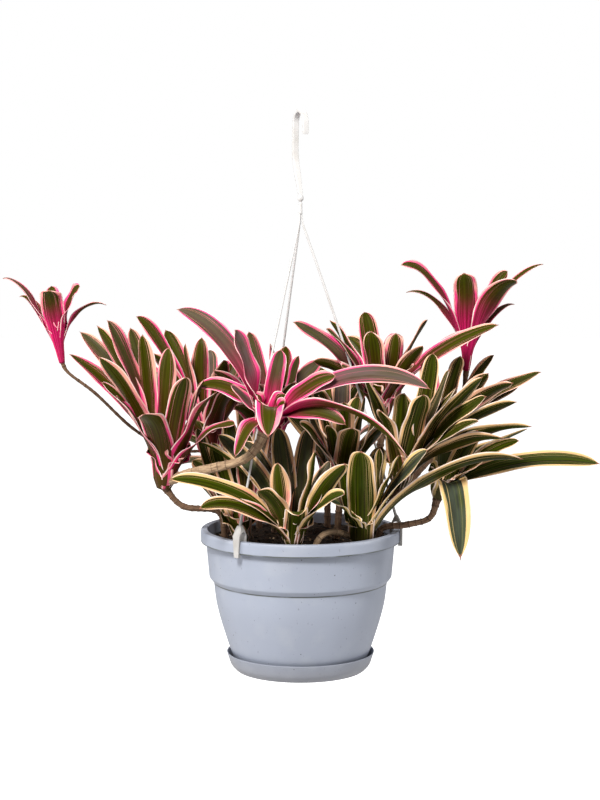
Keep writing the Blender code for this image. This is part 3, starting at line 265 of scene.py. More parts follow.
# Stems and runners: radius, then the points between the two ends, then what each end meets.
# An end is "soil" with its x and y, or a rosette: its foot, or its side at a heading in degrees.
STEMS = {
    "stem_left": (0.0040, ("soil", -0.104, -0.012), ((-0.112, -0.018, 0.222), (-0.160, -0.030, 0.232)),
                  ("foot", "crown_left")),
    "stem_front": (0.0058, ("side", "crown_left", 45.0), ((-0.150, -0.068, 0.284), (-0.112, -0.088, 0.294),
                   (-0.076, -0.098, 0.306), (-0.056, -0.099, 0.326)), ("foot", "crown_front")),
    "runner_surface": (0.0040, ("soil", 0.016, -0.104), ((0.026, -0.102, 0.202), (0.046, -0.082, 0.206)),
                       ("side", "crown_low_right", -90.0)),
    "stem_upper_left": (0.0045, ("soil", -0.098, 0.042), ((-0.116, 0.044, 0.236),),
                        ("foot", "crown_upper_left")),
    "runner_pup_left": (0.0021, ("side", "crown_upper_left", 270.0), ((-0.180, 0.040, 0.300),
                        (-0.232, 0.036, 0.330), (-0.282, 0.024, 0.380), (-0.318, 0.012, 0.410)),
                        ("foot", "pup_left")),
    "stem_middle": (0.0045, ("soil", -0.036, 0.030), ((-0.036, 0.028, 0.240),), ("foot", "crown_middle")),
    "stem_upper_right": (0.0050, ("soil", 0.088, 0.020), ((0.098, 0.018, 0.250), (0.110, 0.019, 0.310)),
                         ("foot", "crown_upper_right")),
    "stem_right": (0.0048, ("soil", 0.092, -0.022), ((0.100, -0.028, 0.214), (0.122, -0.043, 0.238)),
                   ("foot", "crown_right")),
    "stem_back_right": (0.0048, ("soil", 0.098, 0.046), ((0.110, 0.048, 0.225), (0.152, 0.046, 0.255)),
                        ("foot", "crown_back_right")),
    "stem_pup_right": (0.0030, ("side", "crown_back_right", 135.0), ((0.212, 0.064, 0.318),
                       (0.226, 0.056, 0.370)), ("foot", "pup_right")),
    "stem_far_right": (0.0042, ("soil", 0.104, -0.034), ((0.112, -0.036, 0.203), (0.146, -0.038, 0.2085),
                       (0.176, -0.040, 0.218)), ("foot", "crown_far_right")),
    "stem_centre": (0.0044, ("soil", 0.050, -0.014), ((0.052, -0.018, 0.218),), ("foot", "crown_centre")),
    "stem_back": (0.0044, ("soil", 0.038, 0.066), ((0.038, 0.072, 0.215),), ("foot", "crown_back")),
    "stem_back_left": (0.0042, ("soil", -0.058, 0.070), ((-0.060, 0.074, 0.198),),
                       ("foot", "crown_back_left")),
}


# ---------------------------- surfaces
def sleeve(rings, foot, tip):
    """Points and faces of a closed sleeve.

    Rings of equal size follow each other, counter-clockwise about the way they advance, and each
    end is drawn together in one point.
    """
    rows, sides, _ = rings.shape
    points = np.vstack([rings.reshape(-1, 3), [foot, tip]])
    row = np.arange(rows - 1)[:, None] * sides
    here = np.arange(sides)
    beside = (here + 1) % sides
    quads = np.stack([row + here, row + beside, row + sides + beside, row + sides + here], axis=-1)
    last = (rows - 1) * sides
    ends = np.full(sides, rows * sides)
    first_fan = np.stack([beside, here, ends], axis=-1)
    last_fan = np.stack([last + here, last + beside, ends + 1], axis=-1)
    return points, [*quads.reshape(-1, 4).tolist(), *first_fan.tolist(), *last_fan.tolist()]


def joined(shapes):
    """One list of points and faces, and of point values, from several shapes."""
    points, faces, values = [], [], []
    count = 0
    for shape_points, shape_faces, *shape_values in shapes:
        points.append(shape_points)
        faces += [[index + count for index in face] for face in shape_faces]
        values.append(shape_values)
        count += len(shape_points)
    merged = [np.vstack(column) for column in zip(*values)]
    return [np.vstack(points), faces, *merged]


def mesh_points(mesh):
    points = np.empty(len(mesh.vertices) * 3)
    mesh.vertices.foreach_get("co", points)
    return points.reshape(-1, 3)


def placed(name, data):
    """A new object in the scene."""
    obj = bpy.data.objects.new(name, data)
    bpy.context.scene.collection.objects.link(obj)
    return obj


def add_piece(name, points, faces, material, slot, nodes=(), sharp=None, **values):
    """A smooth mesh piece in the frame that rides on the root body, with its point values."""
    mesh = bpy.data.meshes.new(name)
    lowered = points + np.array((0, 0, GROUND))
    mesh.from_pydata(lowered.tolist(), [], faces)
    mesh.polygons.foreach_set("use_smooth", np.ones(len(mesh.polygons), bool))
    if sharp is not None:
        mesh.set_sharp_from_angle(angle=math.radians(sharp))
    for key, value in values.items():
        attribute = mesh.attributes.new(key, "FLOAT_VECTOR", "POINT")
        attribute.data.foreach_set("vector", np.asarray(value, np.float32).ravel())
    mesh.materials.append(material)
    mesh.update()
    piece = placed(name, mesh)
    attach(piece, "root")
    if nodes:
        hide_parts(*nodes)
    return piece


def lattice_noise(x, y, cell, seed):
    """Value noise in the plane: random heights on a square lattice, smoothly interpolated."""
    table = np.random.default_rng(seed).random((64, 64))
    u, v = x / cell, y / cell
    i, j = np.floor(u).astype(int), np.floor(v).astype(int)
    fu, fv = u - i, v - j
    fu, fv = fu * fu * (3 - 2 * fu), fv * fv * (3 - 2 * fv)
    a, b = table[i % 64, j % 64], table[(i + 1) % 64, j % 64]
    c, d = table[i % 64, (j + 1) % 64], table[(i + 1) % 64, (j + 1) % 64]
    return (a * (1 - fu) + b * fu) * (1 - fv) + (c * (1 - fu) + d * fu) * fv


def smooth_route(points, count):
    """Points evenly spread along a Catmull-Rom curve through the given ones."""
    known = np.array([tuple(p) for p in points], float)
    padded = np.vstack([2 * known[0] - known[1], known, 2 * known[-1] - known[-2]])
    share = np.linspace(0, len(known) - 1, count)
    index = np.minimum(share.astype(int), len(known) - 2)
    u = (share - index)[:, None]
    a, b, c, d = (padded[index + k] for k in range(4))
    return 0.5 * (2 * b + (c - a) * u + (2 * a - 5 * b + 4 * c - d) * u**2 + (3 * b - a - 3 * c + d) * u**3)


def filleted(corners):
    """A profile from corners (radius, height, fillet): each fillet is a parabola between the two
    points at that distance from the corner."""
    spots = np.array([corner[:2] for corner in corners], float)
    outline = [spots[0]]
    t = np.linspace(0, 1, 6)[:, None]
    for index in range(1, len(corners) - 1):
        here, size = spots[index], corners[index][2]
        if size == 0:
            outline.append(here)
            continue
        before = spots[index - 1] - here
        after = spots[index + 1] - here
        a = here + before / np.linalg.norm(before) * size
        b = here + after / np.linalg.norm(after) * size
        outline.extend((1 - t)**2 * a + 2 * t * (1 - t) * here + t**2 * b)
    outline.append(spots[-1])
    return np.array(outline)


def turned(profile):
    """Points and faces of a solid of revolution.

    The profile runs from the axis underneath, up the outside and back to the axis inside. Long
    runs get extra rings.
    """
    runs = [profile[0][None]]
    for a, b in zip(profile[:-1], profile[1:]):
        count = max(1, int(np.ceil(np.linalg.norm(b - a) / PROFILE_STEP)))
        runs.append(a + (b - a) * (np.arange(1, count + 1) / count)[:, None])
    line = np.vstack(runs)
    angle = np.linspace(0, 2 * np.pi, TURN_STEPS, endpoint=False)
    radius, height = line[1:-1, 0, None], line[1:-1, 1, None]
    rings = np.stack(np.broadcast_arrays(radius * np.cos(angle), radius * np.sin(angle), height), axis=-1)
    return sleeve(rings, (0, 0, line[0, 1]), (0, 0, line[-1, 1]))


def framed(line, guide):
    """Tangents and two square directions along a line, the first square to the guide direction."""
    along = np.gradient(line, axis=0)
    along /= np.linalg.norm(along, axis=1)[:, None]
    side = np.cross(np.broadcast_to(guide, along.shape), along)
    side /= np.linalg.norm(side, axis=1)[:, None]
    return along, side, np.cross(along, side)


def swept(line, section, guide):
    """Points and faces of a section (stations, sides, 2) carried along a line, ends closed."""
    _, side, rise = framed(line, guide)
    rings = line[:, None] + side[:, None] * section[..., :1] + rise[:, None] * section[..., 1:]
    return sleeve(rings, line[0], line[-1])


def round_section(radii, sides):
    """A circle for each station, counter-clockwise."""
    angle = np.linspace(0, 2 * np.pi, sides, endpoint=False)
    circle = np.stack([np.cos(angle), np.sin(angle)], axis=-1)
    return np.asarray(radii)[:, None, None] * circle


# ---------------------------- shader helpers
FLOAT, VECTOR, COLOUR = "NodeSocketFloat", "NodeSocketVector", "NodeSocketColor"


class Wire:
    """An output of a shader node. Arithmetic on it adds the nodes that work it out."""

    def __init__(self, tree, socket):
        self.tree = tree
        self.socket = socket

    def math(self, operation, *others):
        values = dict(enumerate((self, *others)))
        return Wire(self.tree, add_node(self.tree, "Math", values, operation=operation).outputs[0])

    def __add__(self, other):
        return self.math("ADD", other)

    def __sub__(self, other):
        return self.math("SUBTRACT", other)

    def __mul__(self, other):
        return self.math("MULTIPLY", other)

    def ramp(self, low, high, start=0.0, end=1.0):
        """Smooth step from start, where the value is low, to end, where it is high."""
        values = dict(enumerate((self, low, high, start, end)))
        node = add_node(self.tree, "MapRange", values, interpolation_type="SMOOTHSTEP")
        return Wire(self.tree, node.outputs[0])

    def blend(self, first, second):
        """The first colour where this mask is 0, the second where it is 1."""
        node = add_node(self.tree, "Mix", {0: self, 6: first, 7: second}, data_type="RGBA")
        return Wire(self.tree, node.outputs[2])

    def parts(self):
        """The three numbers of a vector or a colour."""
        return [Wire(self.tree, part) for part in add_node(self.tree, "SeparateXYZ", {0: self}).outputs]


def put(tree, socket, value):
    """Links a socket to the value when that is a Wire, or else sets it."""
    if isinstance(value, Wire):
        tree.links.new(value.socket, socket)
    else:
        socket.default_value = value


def add_node(tree, kind, values, **settings):
    """A new shader node with its settings, then with its input values."""
    node = tree.nodes.new("ShaderNode" + kind)
    for key, setting in settings.items():
        setattr(node, key, setting)
    for key, value in values.items():
        put(tree, node.inputs[key], value)
    return node


def combined(x, y, z):
    return Wire(x.tree, add_node(x.tree, "CombineXYZ", {0: x, 1: y, 2: z}).outputs[0])


def noise(place, scale, detail=2.0, roughness=0.5):
    values = {"Vector": place, "Scale": scale, "Detail": detail, "Roughness": roughness}
    return Wire(place.tree, add_node(place.tree, "TexNoise", values).outputs["Fac"])


def object_place(tree, stretch=(1, 1, 1)):
    """Object coordinates, stretched."""
    source = Wire(tree, tree.nodes.new("ShaderNodeTexCoord").outputs["Object"])
    return Wire(tree, add_node(tree, "Mapping", {"Scale": stretch, "Vector": source}).outputs[0])


def stored(tree, name):
    """A vector kept on the mesh's points."""
    return Wire(tree, add_node(tree, "Attribute", {}, attribute_name=name).outputs["Vector"])


def new_group(name, inputs, outputs):
    """A shader node group: its tree, its inputs as Wires, and its output sockets, by name."""
    tree = bpy.data.node_groups.new(name, "ShaderNodeTree")
    for direction, sockets in (("INPUT", inputs), ("OUTPUT", outputs)):
        for label, kind in sockets.items():
            tree.interface.new_socket(label, in_out=direction, socket_type=kind)
    entry = tree.nodes.new("NodeGroupInput").outputs
    leave = tree.nodes.new("NodeGroupOutput").inputs
    return tree, {label: Wire(tree, entry[label]) for label in inputs}, leave


def placed_group(tree, group, **values):
    """The outputs of a group placed in a material with its own values."""
    node = add_node(tree, "Group", values, node_tree=group)
    return {socket.name: Wire(tree, socket) for socket in node.outputs}


def finish_material(name, roughness, specular=0.5):
    """A material with its Principled shader, ready to be wired."""
    material = bpy.data.materials.new(name)
    material.use_nodes = True
    shader = material.node_tree.nodes["Principled BSDF"]
    shader.inputs["Roughness"].default_value = roughness
    shader.inputs["Specular IOR Level"].default_value = specular
    return material, material.node_tree, shader


def coloured(tree, shader, colour, height, strength, distance):
    """Wires a colour, and a height as bump, into a Principled shader."""
    put(tree, shader.inputs["Base Color"], colour)
    bump = add_node(tree, "Bump", {"Strength": strength, "Distance": distance, "Height": height})
    tree.links.new(bump.outputs[0], shader.inputs["Normal"])


def darker(colour, share):
    return (*(part * share for part in colour[:3]), 1)


def speck_group():
    """Scattered small specks: cells of a Voronoi pattern near their centres, only some of them."""
    inputs = {"Place": VECTOR, "Density": FLOAT, "Share": FLOAT, "Size": FLOAT}
    tree, entry, leave = new_group("specks", inputs, {"Mask": FLOAT})
    cells = add_node(tree, "TexVoronoi", {"Vector": entry["Place"], "Scale": entry["Density"]}).outputs
    chance = Wire(tree, cells["Color"]).parts()
    chosen = chance[0].math("LESS_THAN", entry["Share"])
    near = Wire(tree, cells["Distance"]).math("LESS_THAN", entry["Size"] * (chance[1] + 0.4))
    put(tree, leave["Mask"], chosen * near)
    return tree


# ---------------------------- materials
DEEP_GREEN = (0.004, 0.009, 0.0002, 1)
OLIVE = (0.040, 0.060, 0.0005, 1)
FRESH_GREEN = (0.022, 0.052, 0.003, 1)
TAN_GREEN = (0.060, 0.050, 0.003, 1)
RUST = (0.085, 0.010, 0.006, 1)
CREAM = (0.72, 0.54, 0.20, 1)
SALMON = (0.86, 0.38, 0.34, 1)
HOT_PINK = (0.82, 0.055, 0.235, 1)
GREY_BLOOM = (0.070, 0.095, 0.085, 1)
ROSE_BLOOM = (0.19, 0.115, 0.145, 1)
DARK_CRIMSON = (0.30, 0.004, 0.050, 1)
CRIMSON = (0.66, 0.012, 0.150, 1)
BROWN_FOOT = (0.050, 0.042, 0.012, 1)
PALE_RIM = (0.92, 0.76, 0.70, 1)
DRY_TIP = (0.30, 0.13, 0.085, 1)


def leaf_group():
    """Colour of a variegated leaf from its place (across, along, upper) and tone (seed, flush, pink)."""
    outputs = {"Colour": COLOUR, "Height": FLOAT, "Roughness": FLOAT}
    tree, entry, leave = new_group("leaf_pattern", {"Place": VECTOR, "Tone": VECTOR}, outputs)
    across, along, upper = entry["Place"].parts()
    seed, flush, pink = entry["Tone"].parts()
    edge = across.math("ABSOLUTE")

    def streaks(scale_across, scale_along, offset, detail):
        """Noise drawn out along the blade, different on each leaf."""
        lane = combined(across * scale_across + seed * 97.0, along * scale_along, seed * 31.0 + offset)
        return noise(lane, 1.0, detail)

    broad = streaks(1.3, 1.6, 0.0, 1.0)
    fine = streaks(7.0, 0.7, 3.0, 2.0)
    hair = streaks(24.0, 0.6, 7.0, 2.0)
    cloud = streaks(2.0, 5.0, 11.0, 3.0)

    # A pale margin, wider on some leaves, with pale pinstripes inside it and green gaps in it.
    border = edge + (broad - 0.5) * 0.42 + (fine - 0.5) * 0.36 - (seed * 13.0).math("FRACT") * 0.17
    pin = hair.ramp(0.60, 0.65) * edge.ramp(0.15, 0.60)
    gap = hair.ramp(0.40, 0.34) * edge.ramp(0.92, 0.75)
    margin = border.ramp(0.625, 0.660) * (gap * -0.75 + 1.0)
    pale = margin.math("MAXIMUM", pin * 0.75)

    green = fine.ramp(0.35, 0.65).blend(DEEP_GREEN, OLIVE)
    green = cloud.ramp(0.45, 0.75, 0.0, 0.5).blend(green, FRESH_GREEN)
    green = (pink * 0.55).blend(green, TAN_GREEN)
    green = (flush * along.ramp(0.85, 0.25, 0.0, 0.62)).blend(green, RUST)

    # The margin is cream or salmon, and hot pink toward the leaf's foot.
    heat = cloud.ramp(0.3, 0.7) * 0.35 + pink * 0.75 - along.ramp(0.25, 1.0, 0.12, 0.48)
    heat = heat + (upper - 1.0) * 0.12
    colour = pale.blend(green, heat.ramp(0.15, 0.65).blend(pink.blend(CREAM, SALMON), HOT_PINK))

    # A dull bloom lies on the upper side of some leaves.
    dusty = (seed * 7.0).math("FRACT").ramp(0.60, 1.0, 0.0, 0.50) * cloud.ramp(0.25, 0.65, 0.45, 1.0)
    bloom = upper * dusty * (pale * -0.85 + 1.0)
    colour = bloom.blend(colour, pink.blend(GREY_BLOOM, ROSE_BLOOM))

    # A flushed rosette is crimson in its cup, and when it is fully flushed outside the cup too.
    cup = ((hair - 0.5) * 0.35 + along).ramp(0.58, 0.08) * flush.ramp(0.10, 0.95)
    cup = cup * upper.math("MAXIMUM", flush.ramp(0.60, 0.95))
    colour = cup.blend(colour, fine.ramp(0.4, 0.6).blend(DARK_CRIMSON, CRIMSON))

    foot = along.ramp(0.20, -0.08) * cloud.ramp(0.2, 0.6, 0.55, 0.95) * flush.ramp(0.75, 0.20, 0.25, 1.0)
    colour = foot.blend(colour, BROWN_FOOT)
    rim = edge.ramp(0.90, 0.94) * cloud.ramp(0.35, 0.6, 0.30, 0.95)
    colour = rim.blend(colour, PALE_RIM)
    colour = (fine * 0.02 + along).ramp(0.975, 0.990).blend(colour, DRY_TIP)

    put(tree, leave["Colour"], colour)
    put(tree, leave["Height"], hair * 0.6 + fine)
    put(tree, leave["Roughness"], bloom * 0.18 + cloud.ramp(0.2, 0.8, 0.30, 0.46))
    return tree


def leaf_material(group):
    material, tree, shader = finish_material("leaf_look", 0.4, specular=0.06)
    pattern = placed_group(tree, group, Place=stored(tree, "leaf_place"), Tone=stored(tree, "leaf_tone"))
    put(tree, shader.inputs["Roughness"], pattern["Roughness"])
    coloured(tree, shader, pattern["Colour"], pattern["Height"], 0.25, 0.0008)
    return material


def plastic_material(name, colour, specks):
    """Satin moulded plastic with faint flow marks, dust, scuffs, specks and painted shade lines under the
    rim and the step.
    """
    material, tree, shader = finish_material(name, PLASTIC_ROUGHNESS)
    place = object_place(tree)
    flow = noise(object_place(tree, (6, 6, 1.2)), 3.0, 3.0)
    cloud = noise(place, 26.0, 5.0)
    tint = flow.ramp(0.35, 0.65, 0.0, 0.4).blend(colour, darker(colour, 0.92))
    tint = cloud.ramp(0.50, 0.75, 0.0, 0.10).blend(tint, (0.56, 0.57, 0.58, 1))
    spots = placed_group(tree, specks, Place=place, Density=110.0, Share=0.22, Size=0.075)
    tint = (spots["Mask"] * 0.80).blend(tint, (0.055, 0.050, 0.048, 1))
    scuff = noise(object_place(tree, (60, 60, 25)), 6.0, 2.0)
    tint = scuff.ramp(0.70, 0.74, 0.0, 0.45).blend(tint, (0.12, 0.115, 0.12, 1))
    height = place.parts()[2]
    # Painted shade: a dark band at the foot of the rim's skirt and at the step, where their overhangs shade
    # the wall.
    for level in (RIM_TOP - RIM_SKIRT, STEP_HEIGHT - STEP_DROP):
        away = (height - (GROUND + level + 0.0006)).math("ABSOLUTE")
        painted_shade_line = away.ramp(0.0016, 0.0004) * cloud.ramp(0.30, 0.60, 0.35, 0.9)
        tint = painted_shade_line.blend(tint, (0.050, 0.060, 0.045, 1))
    low = (cloud * 0.020 + height).ramp(GROUND + 0.040, GROUND + 0.012, 0.0, 0.35)
    tint = low.blend(tint, (0.20, 0.19, 0.185, 1))
    matt = cloud.ramp(0.3, 0.7, PLASTIC_ROUGHNESS - 0.05, PLASTIC_ROUGHNESS + 0.12)
    put(tree, shader.inputs["Roughness"], matt)
    coloured(tree, shader, tint, noise(place, 900.0, 2.0), 0.10, 0.0003)
    return material


def hanger_material(specks):
    """White plastic, with painted shade toward the rim."""
    material, tree, shader = finish_material("hanger_plastic_look", 0.42)
    place = object_place(tree)
    cloud = noise(place, 35.0, 3.0)
    tint = cloud.ramp(0.5, 0.8, 0.0, 0.45).blend((0.55, 0.55, 0.56, 1), (0.42, 0.40, 0.37, 1))
    spots = placed_group(tree, specks, Place=place, Density=160.0, Share=0.06, Size=0.10)
    tint = (spots["Mask"] * 0.6).blend(tint, (0.12, 0.10, 0.09, 1))
    # Painted shade: the hanger darkens in patches toward the pot's rim, where the leaves shade it.
    painted_rim_shade = place.parts()[2].ramp(GROUND + RIM_TOP + 0.05, GROUND + RIM_TOP, 0.0, 0.75)
    tint = (painted_rim_shade * cloud.ramp(0.30, 0.6, 0.5, 1.0)).blend(tint, (0.24, 0.23, 0.22, 1))
    coloured(tree, shader, tint, noise(place, 700.0, 2.0), 0.12, 0.0003)
    return material


def soil_material():
    material, tree, shader = finish_material("potting_soil_look", 0.95, specular=0.15)
    place = object_place(tree)
    coarse = noise(place, 160.0, 4.0, 0.65)
    grain = noise(place, 520.0, 3.0)
    tint = coarse.ramp(0.35, 0.70).blend((0.006, 0.0035, 0.002, 1), (0.042, 0.023, 0.012, 1))
    tint = grain.ramp(0.66, 0.74, 0.0, 0.8).blend(tint, (0.20, 0.13, 0.075, 1))
    coloured(tree, shader, tint, coarse + grain * 0.5, 0.9, 0.003)
    return material


def bark_material(name, dark, light):
    """Fibrous bark: streaks along the stem, darker scars at its rings."""
    material, tree, shader = finish_material(name, 0.78, specular=0.25)
    angle, length, ring = stored(tree, "stem_place").parts()
    thread = noise(combined(angle * 5.0, length * 55.0, 0.0), 1.0, 4.0, 0.6)
    cloud = noise(object_place(tree), 60.0, 3.0)
    tint = thread.ramp(0.35, 0.68).blend(dark, light)
    tint = cloud.ramp(0.45, 0.75, 0.0, 0.55).blend(tint, darker(dark, 0.45))
    tint = ring.ramp(0.80, 0.98, 0.0, 0.8).blend(tint, darker(dark, 0.30))
    coloured(tree, shader, tint, thread, 0.55, 0.0010)
    return material


# ---------------------------- pot, saucer and soil
def wall_top():
    return RIM_RADIUS - RIM_OVERHANG


def pot_bottom():
    return SAUCER_FLOOR + GAP


def pot_outside():
    """Radius and height down the outside of the pot's wall, below its rim."""
    top = wall_top()
    step = top - UPPER_TAPER
    low = step - STEP_DEPTH
    low_z = STEP_HEIGHT - STEP_DROP
    bowl = [(FOOT_RADIUS + (low - FOOT_RADIUS) * flare, pot_bottom() + (low_z - pot_bottom()) * share)
            for share, flare in reversed(BOWL)]
    return [(top, RIM_TOP - SKIRT_WALL), (step, STEP_HEIGHT), *bowl, (FOOT_RADIUS, pot_bottom())]


def inner_radius(z):
    """Radius of the pot's inner wall at a height."""
    radii, heights = zip(*reversed(pot_outside()))
    return float(np.interp(z, heights, radii)) - POT_WALL


def soil_top(x, y):
    """The soil's surface: a low crown, flat at the pot's wall."""
    edge = inner_radius(SOIL_EDGE)
    return SOIL_EDGE + SOIL_CROWN * (1 - np.minimum(1.0, np.hypot(x, y) / edge)**2)


def bowl_curve():
    """The bowl below the step as a smooth line, from the foot up."""
    wall = pot_outside()[2:]
    return smooth_route([(r, 0.0, z) for r, z in reversed(wall[:-1])], 26)[:, ::2]


def make_pot(material):
    wall = pot_outside()
    skirt_low = RIM_TOP - RIM_SKIRT
    top, step = wall[0], wall[1]
    bowl = bowl_curve()
    inner = [(r - POT_WALL, z, 0) for r, z in reversed(bowl)]
    corners = [
        (0.0, pot_bottom(), 0), (FOOT_RADIUS, pot_bottom(), 0.004),
        *[(r, z, 0) for r, z in bowl[:-1]], (bowl[-1, 0], bowl[-1, 1], 0.0018),
        (step[0], step[1], 0.0016), (top[0], skirt_low + 0.004, 0.001),
        (top[0], RIM_TOP - SKIRT_WALL, 0.0006), (RIM_RADIUS - SKIRT_WALL, RIM_TOP - SKIRT_WALL, 0.0006),
        (RIM_RADIUS - SKIRT_WALL, skirt_low, 0.0007), (RIM_RADIUS - 0.0002, skirt_low, 0.0008),
        (RIM_RADIUS, RIM_TOP - 0.004, 0.001), (RIM_RADIUS - 0.0006, RIM_TOP, 0.0016),
        (top[0] - POT_WALL, RIM_TOP, 0.0010), (step[0] - POT_WALL, step[1], 0.001), *inner,
        (FOOT_RADIUS - POT_WALL, pot_bottom() + POT_FLOOR, 0.002), (0.0, pot_bottom() + POT_FLOOR, 0)]
    points, faces = turned(filleted(corners))
    add_piece("pot_shell", points, faces, material, "pot_plastic", ["pot"])


def make_saucer(material):
    """A shallow dish that follows the pot's wall at a clearance, with a rounded lip."""
    wall = dict((z, r) for r, z in pot_outside())
    heights = sorted(wall)
    lip = float(np.interp(SAUCER_HEIGHT, heights, [wall[z] for z in heights])) + SAUCER_CLEARANCE
    foot = FOOT_RADIUS + SAUCER_CLEARANCE
    belly = foot + 0.55 * (lip - foot)
    corners = [
        (0.0, 0.0, 0), (foot, 0.0, 0.0012), (foot + SAUCER_WALL, SAUCER_FLOOR / 2, 0.0008),
        (belly + SAUCER_WALL, SAUCER_CORNER, 0.004), (lip + SAUCER_WALL, SAUCER_HEIGHT, 0.0008),
        (lip, SAUCER_HEIGHT, 0.0008), (belly, SAUCER_CORNER + SAUCER_FLOOR, 0.004),
        (foot, SAUCER_FLOOR, 0.001), (0.0, SAUCER_FLOOR, 0)]
    points, faces = turned(filleted(corners))
    add_piece("saucer_dish", points, faces, material, "saucer_plastic", ["saucer"])


def make_soil(material):
    """The root ball inside the pot: its top is lumpy, from three sizes of value noise."""
    floor = pot_bottom() + POT_FLOOR + GAP
    edge = inner_radius(SOIL_EDGE) - GAP
    side = [(inner_radius(z) - GAP, z) for _, z in reversed(pot_outside())
            if floor + 0.004 < z < SOIL_EDGE - 0.004]
    profile = np.array([(0.0, floor), (inner_radius(floor) - GAP, floor), *side,
                        (edge, SOIL_EDGE - 0.001), (0.0, SOIL_EDGE)])
    points, faces = turned(profile)
    x, y, z = points.T
    on_top = z > SOIL_EDGE - 0.0015
    lumps = sum(size * lattice_noise(x, y, cell, seed) for seed, (size, cell) in enumerate(SOIL_LUMPS, 1))
    inside = np.clip((edge - np.hypot(x, y)) / 0.006, 0, 1)
    points[:, 2] = np.where(on_top, soil_top(x, y) - 0.004 + lumps * inside, z)
    add_piece("soil_ball", points, faces, material, "potting_soil", ["potting_soil"])


def make_soil_bits(bark, earth):
    """Bark chips and broken roots lying on the soil: stretched six-sided crumbs."""
    rng = np.random.default_rng(5)
    edge = inner_radius(SOIL_EDGE) - 0.006
    kinds = (("soil_crumbs", earth, 420, 0.0026), ("bark_chips", bark, 90, 0.0034))
    for name, material, count, size in kinds:
        shapes = []
        for _ in range(count):
            angle, radius = rng.uniform(0, 2 * np.pi), edge * np.sqrt(rng.random())
            length, turn = size * rng.uniform(0.7, 2.4), rng.uniform(0, 2 * np.pi)
            middle = np.array([radius * np.cos(angle), radius * np.sin(angle), 0.0])
            middle[2] = soil_top(middle[0], middle[1]) + rng.uniform(-0.001, 0.002)
            way = np.array([np.cos(turn), np.sin(turn), rng.uniform(-0.3, 0.4)])
            line = middle + way * np.linspace(-0.5, 0.5, 4)[:, None] * length
            radii = size * rng.uniform(0.2, 0.45) * np.array([0.5, 1.0, 0.9, 0.4])
            points, faces = swept(line, round_section(radii, 6), (0.1, 0.2, 1.0))
            place = np.tile([turn, length, 0.0], (len(points), 1))
            shapes.append((points, faces, place))
        points, faces, place = joined(shapes)
        add_piece(name, points, faces, material, "potting_soil", sharp=50, stem_place=place)


# ---------------------------- hanger
def hook_line():
    """The hook's centre line in its own plane: out toward the tip, and up."""
    half = HOOK_THICK / 2
    centre = HOOK_TOP + half - HOOK_RADIUS
    shank = smooth_route([(0.0, SHANK_FOOT, 0), (-0.42 * HOOK_RADIUS, SHANK_FOOT + 0.020, 0),
                          (-0.95 * HOOK_RADIUS, SHANK_FOOT + 0.045, 0),
                          (-HOOK_RADIUS - SHANK_BOW, SHANK_FOOT + 0.065, 0), (-HOOK_RADIUS, centre, 0)], 30)
    angles = np.linspace(math.pi, 0.0, 24)[1:]
    arch = HOOK_RADIUS * np.stack([np.cos(angles), np.sin(angles), 0 * angles], axis=1)
    arch[:, 1] += centre
    tip = np.linspace(arch[-1], (HOOK_RADIUS * 1.04, centre - HOOK_TIP_DROP, 0), 8)[1:]
    return np.vstack([shank, arch, tip])


def stood_up(points, heading):
    """Turns points drawn as (out, up, across) so that out faces a heading from the front."""
    turn = math.radians(heading)
    out = np.array([math.sin(turn), -math.cos(turn), 0.0])
    across = np.cross((0, 0, 1), out)
    return points @ np.array([out, (0, 0, 1), across])


def band_section(width, thickness, taper):
    """A rounded rectangle for each station, scaled by its taper: a superellipse."""
    angle = np.linspace(0, 2 * np.pi, 28, endpoint=False)
    circle = np.stack([np.cos(angle), np.sin(angle)], axis=-1)
    square = np.sign(circle) * np.abs(circle)**0.35 * np.array((width / 2, thickness / 2))
    return taper[:, None, None] * square


def make_hook(material):
    line = hook_line()
    count = len(line)
    taper = np.interp(np.arange(count), (0, 1, 10, count - 3, count - 1), (0.55, 0.75, 1.0, 1.0, 0.80))
    place = stood_up(line, HOOK_TURN)
    turn = math.radians(HOOK_TURN)
    plane = np.cross((0, 0, 1), (math.sin(turn), -math.cos(turn), 0.0))
    _, side, rise = framed(place, plane)
    section = band_section(HOOK_WIDTH, HOOK_THICK, taper)
    rings = place[:, None] + rise[:, None] * section[..., :1] - side[:, None] * section[..., 1:]
    strap = sleeve(rings, place[0], place[-1])
    low = neck_foot()
    knob_z = low + NECK_LENGTH
    angles = np.linspace(-1.2, 1.57, 12)
    knob = [(KNOB_RADIUS * math.cos(a), knob_z + KNOB_HEIGHT / 2 * math.sin(a)) for a in angles]
    profile = np.array([(0.0, low), (NECK_RADIUS * 0.85, low), (NECK_RADIUS, low + 0.0006),
                        (NECK_RADIUS * 0.9, knob_z - KNOB_HEIGHT / 2 - 0.001), *knob[:-1],
                        (0.0, knob_z + KNOB_HEIGHT / 2)])
    points, faces = joined([strap, turned(profile)])
    add_piece("hook_strap", points, faces, material, "hanger_plastic", ["hanger_hook"], sharp=60)


def neck_foot():
    return SHANK_FOOT - 0.35 * KNOB_HEIGHT - NECK_LENGTH


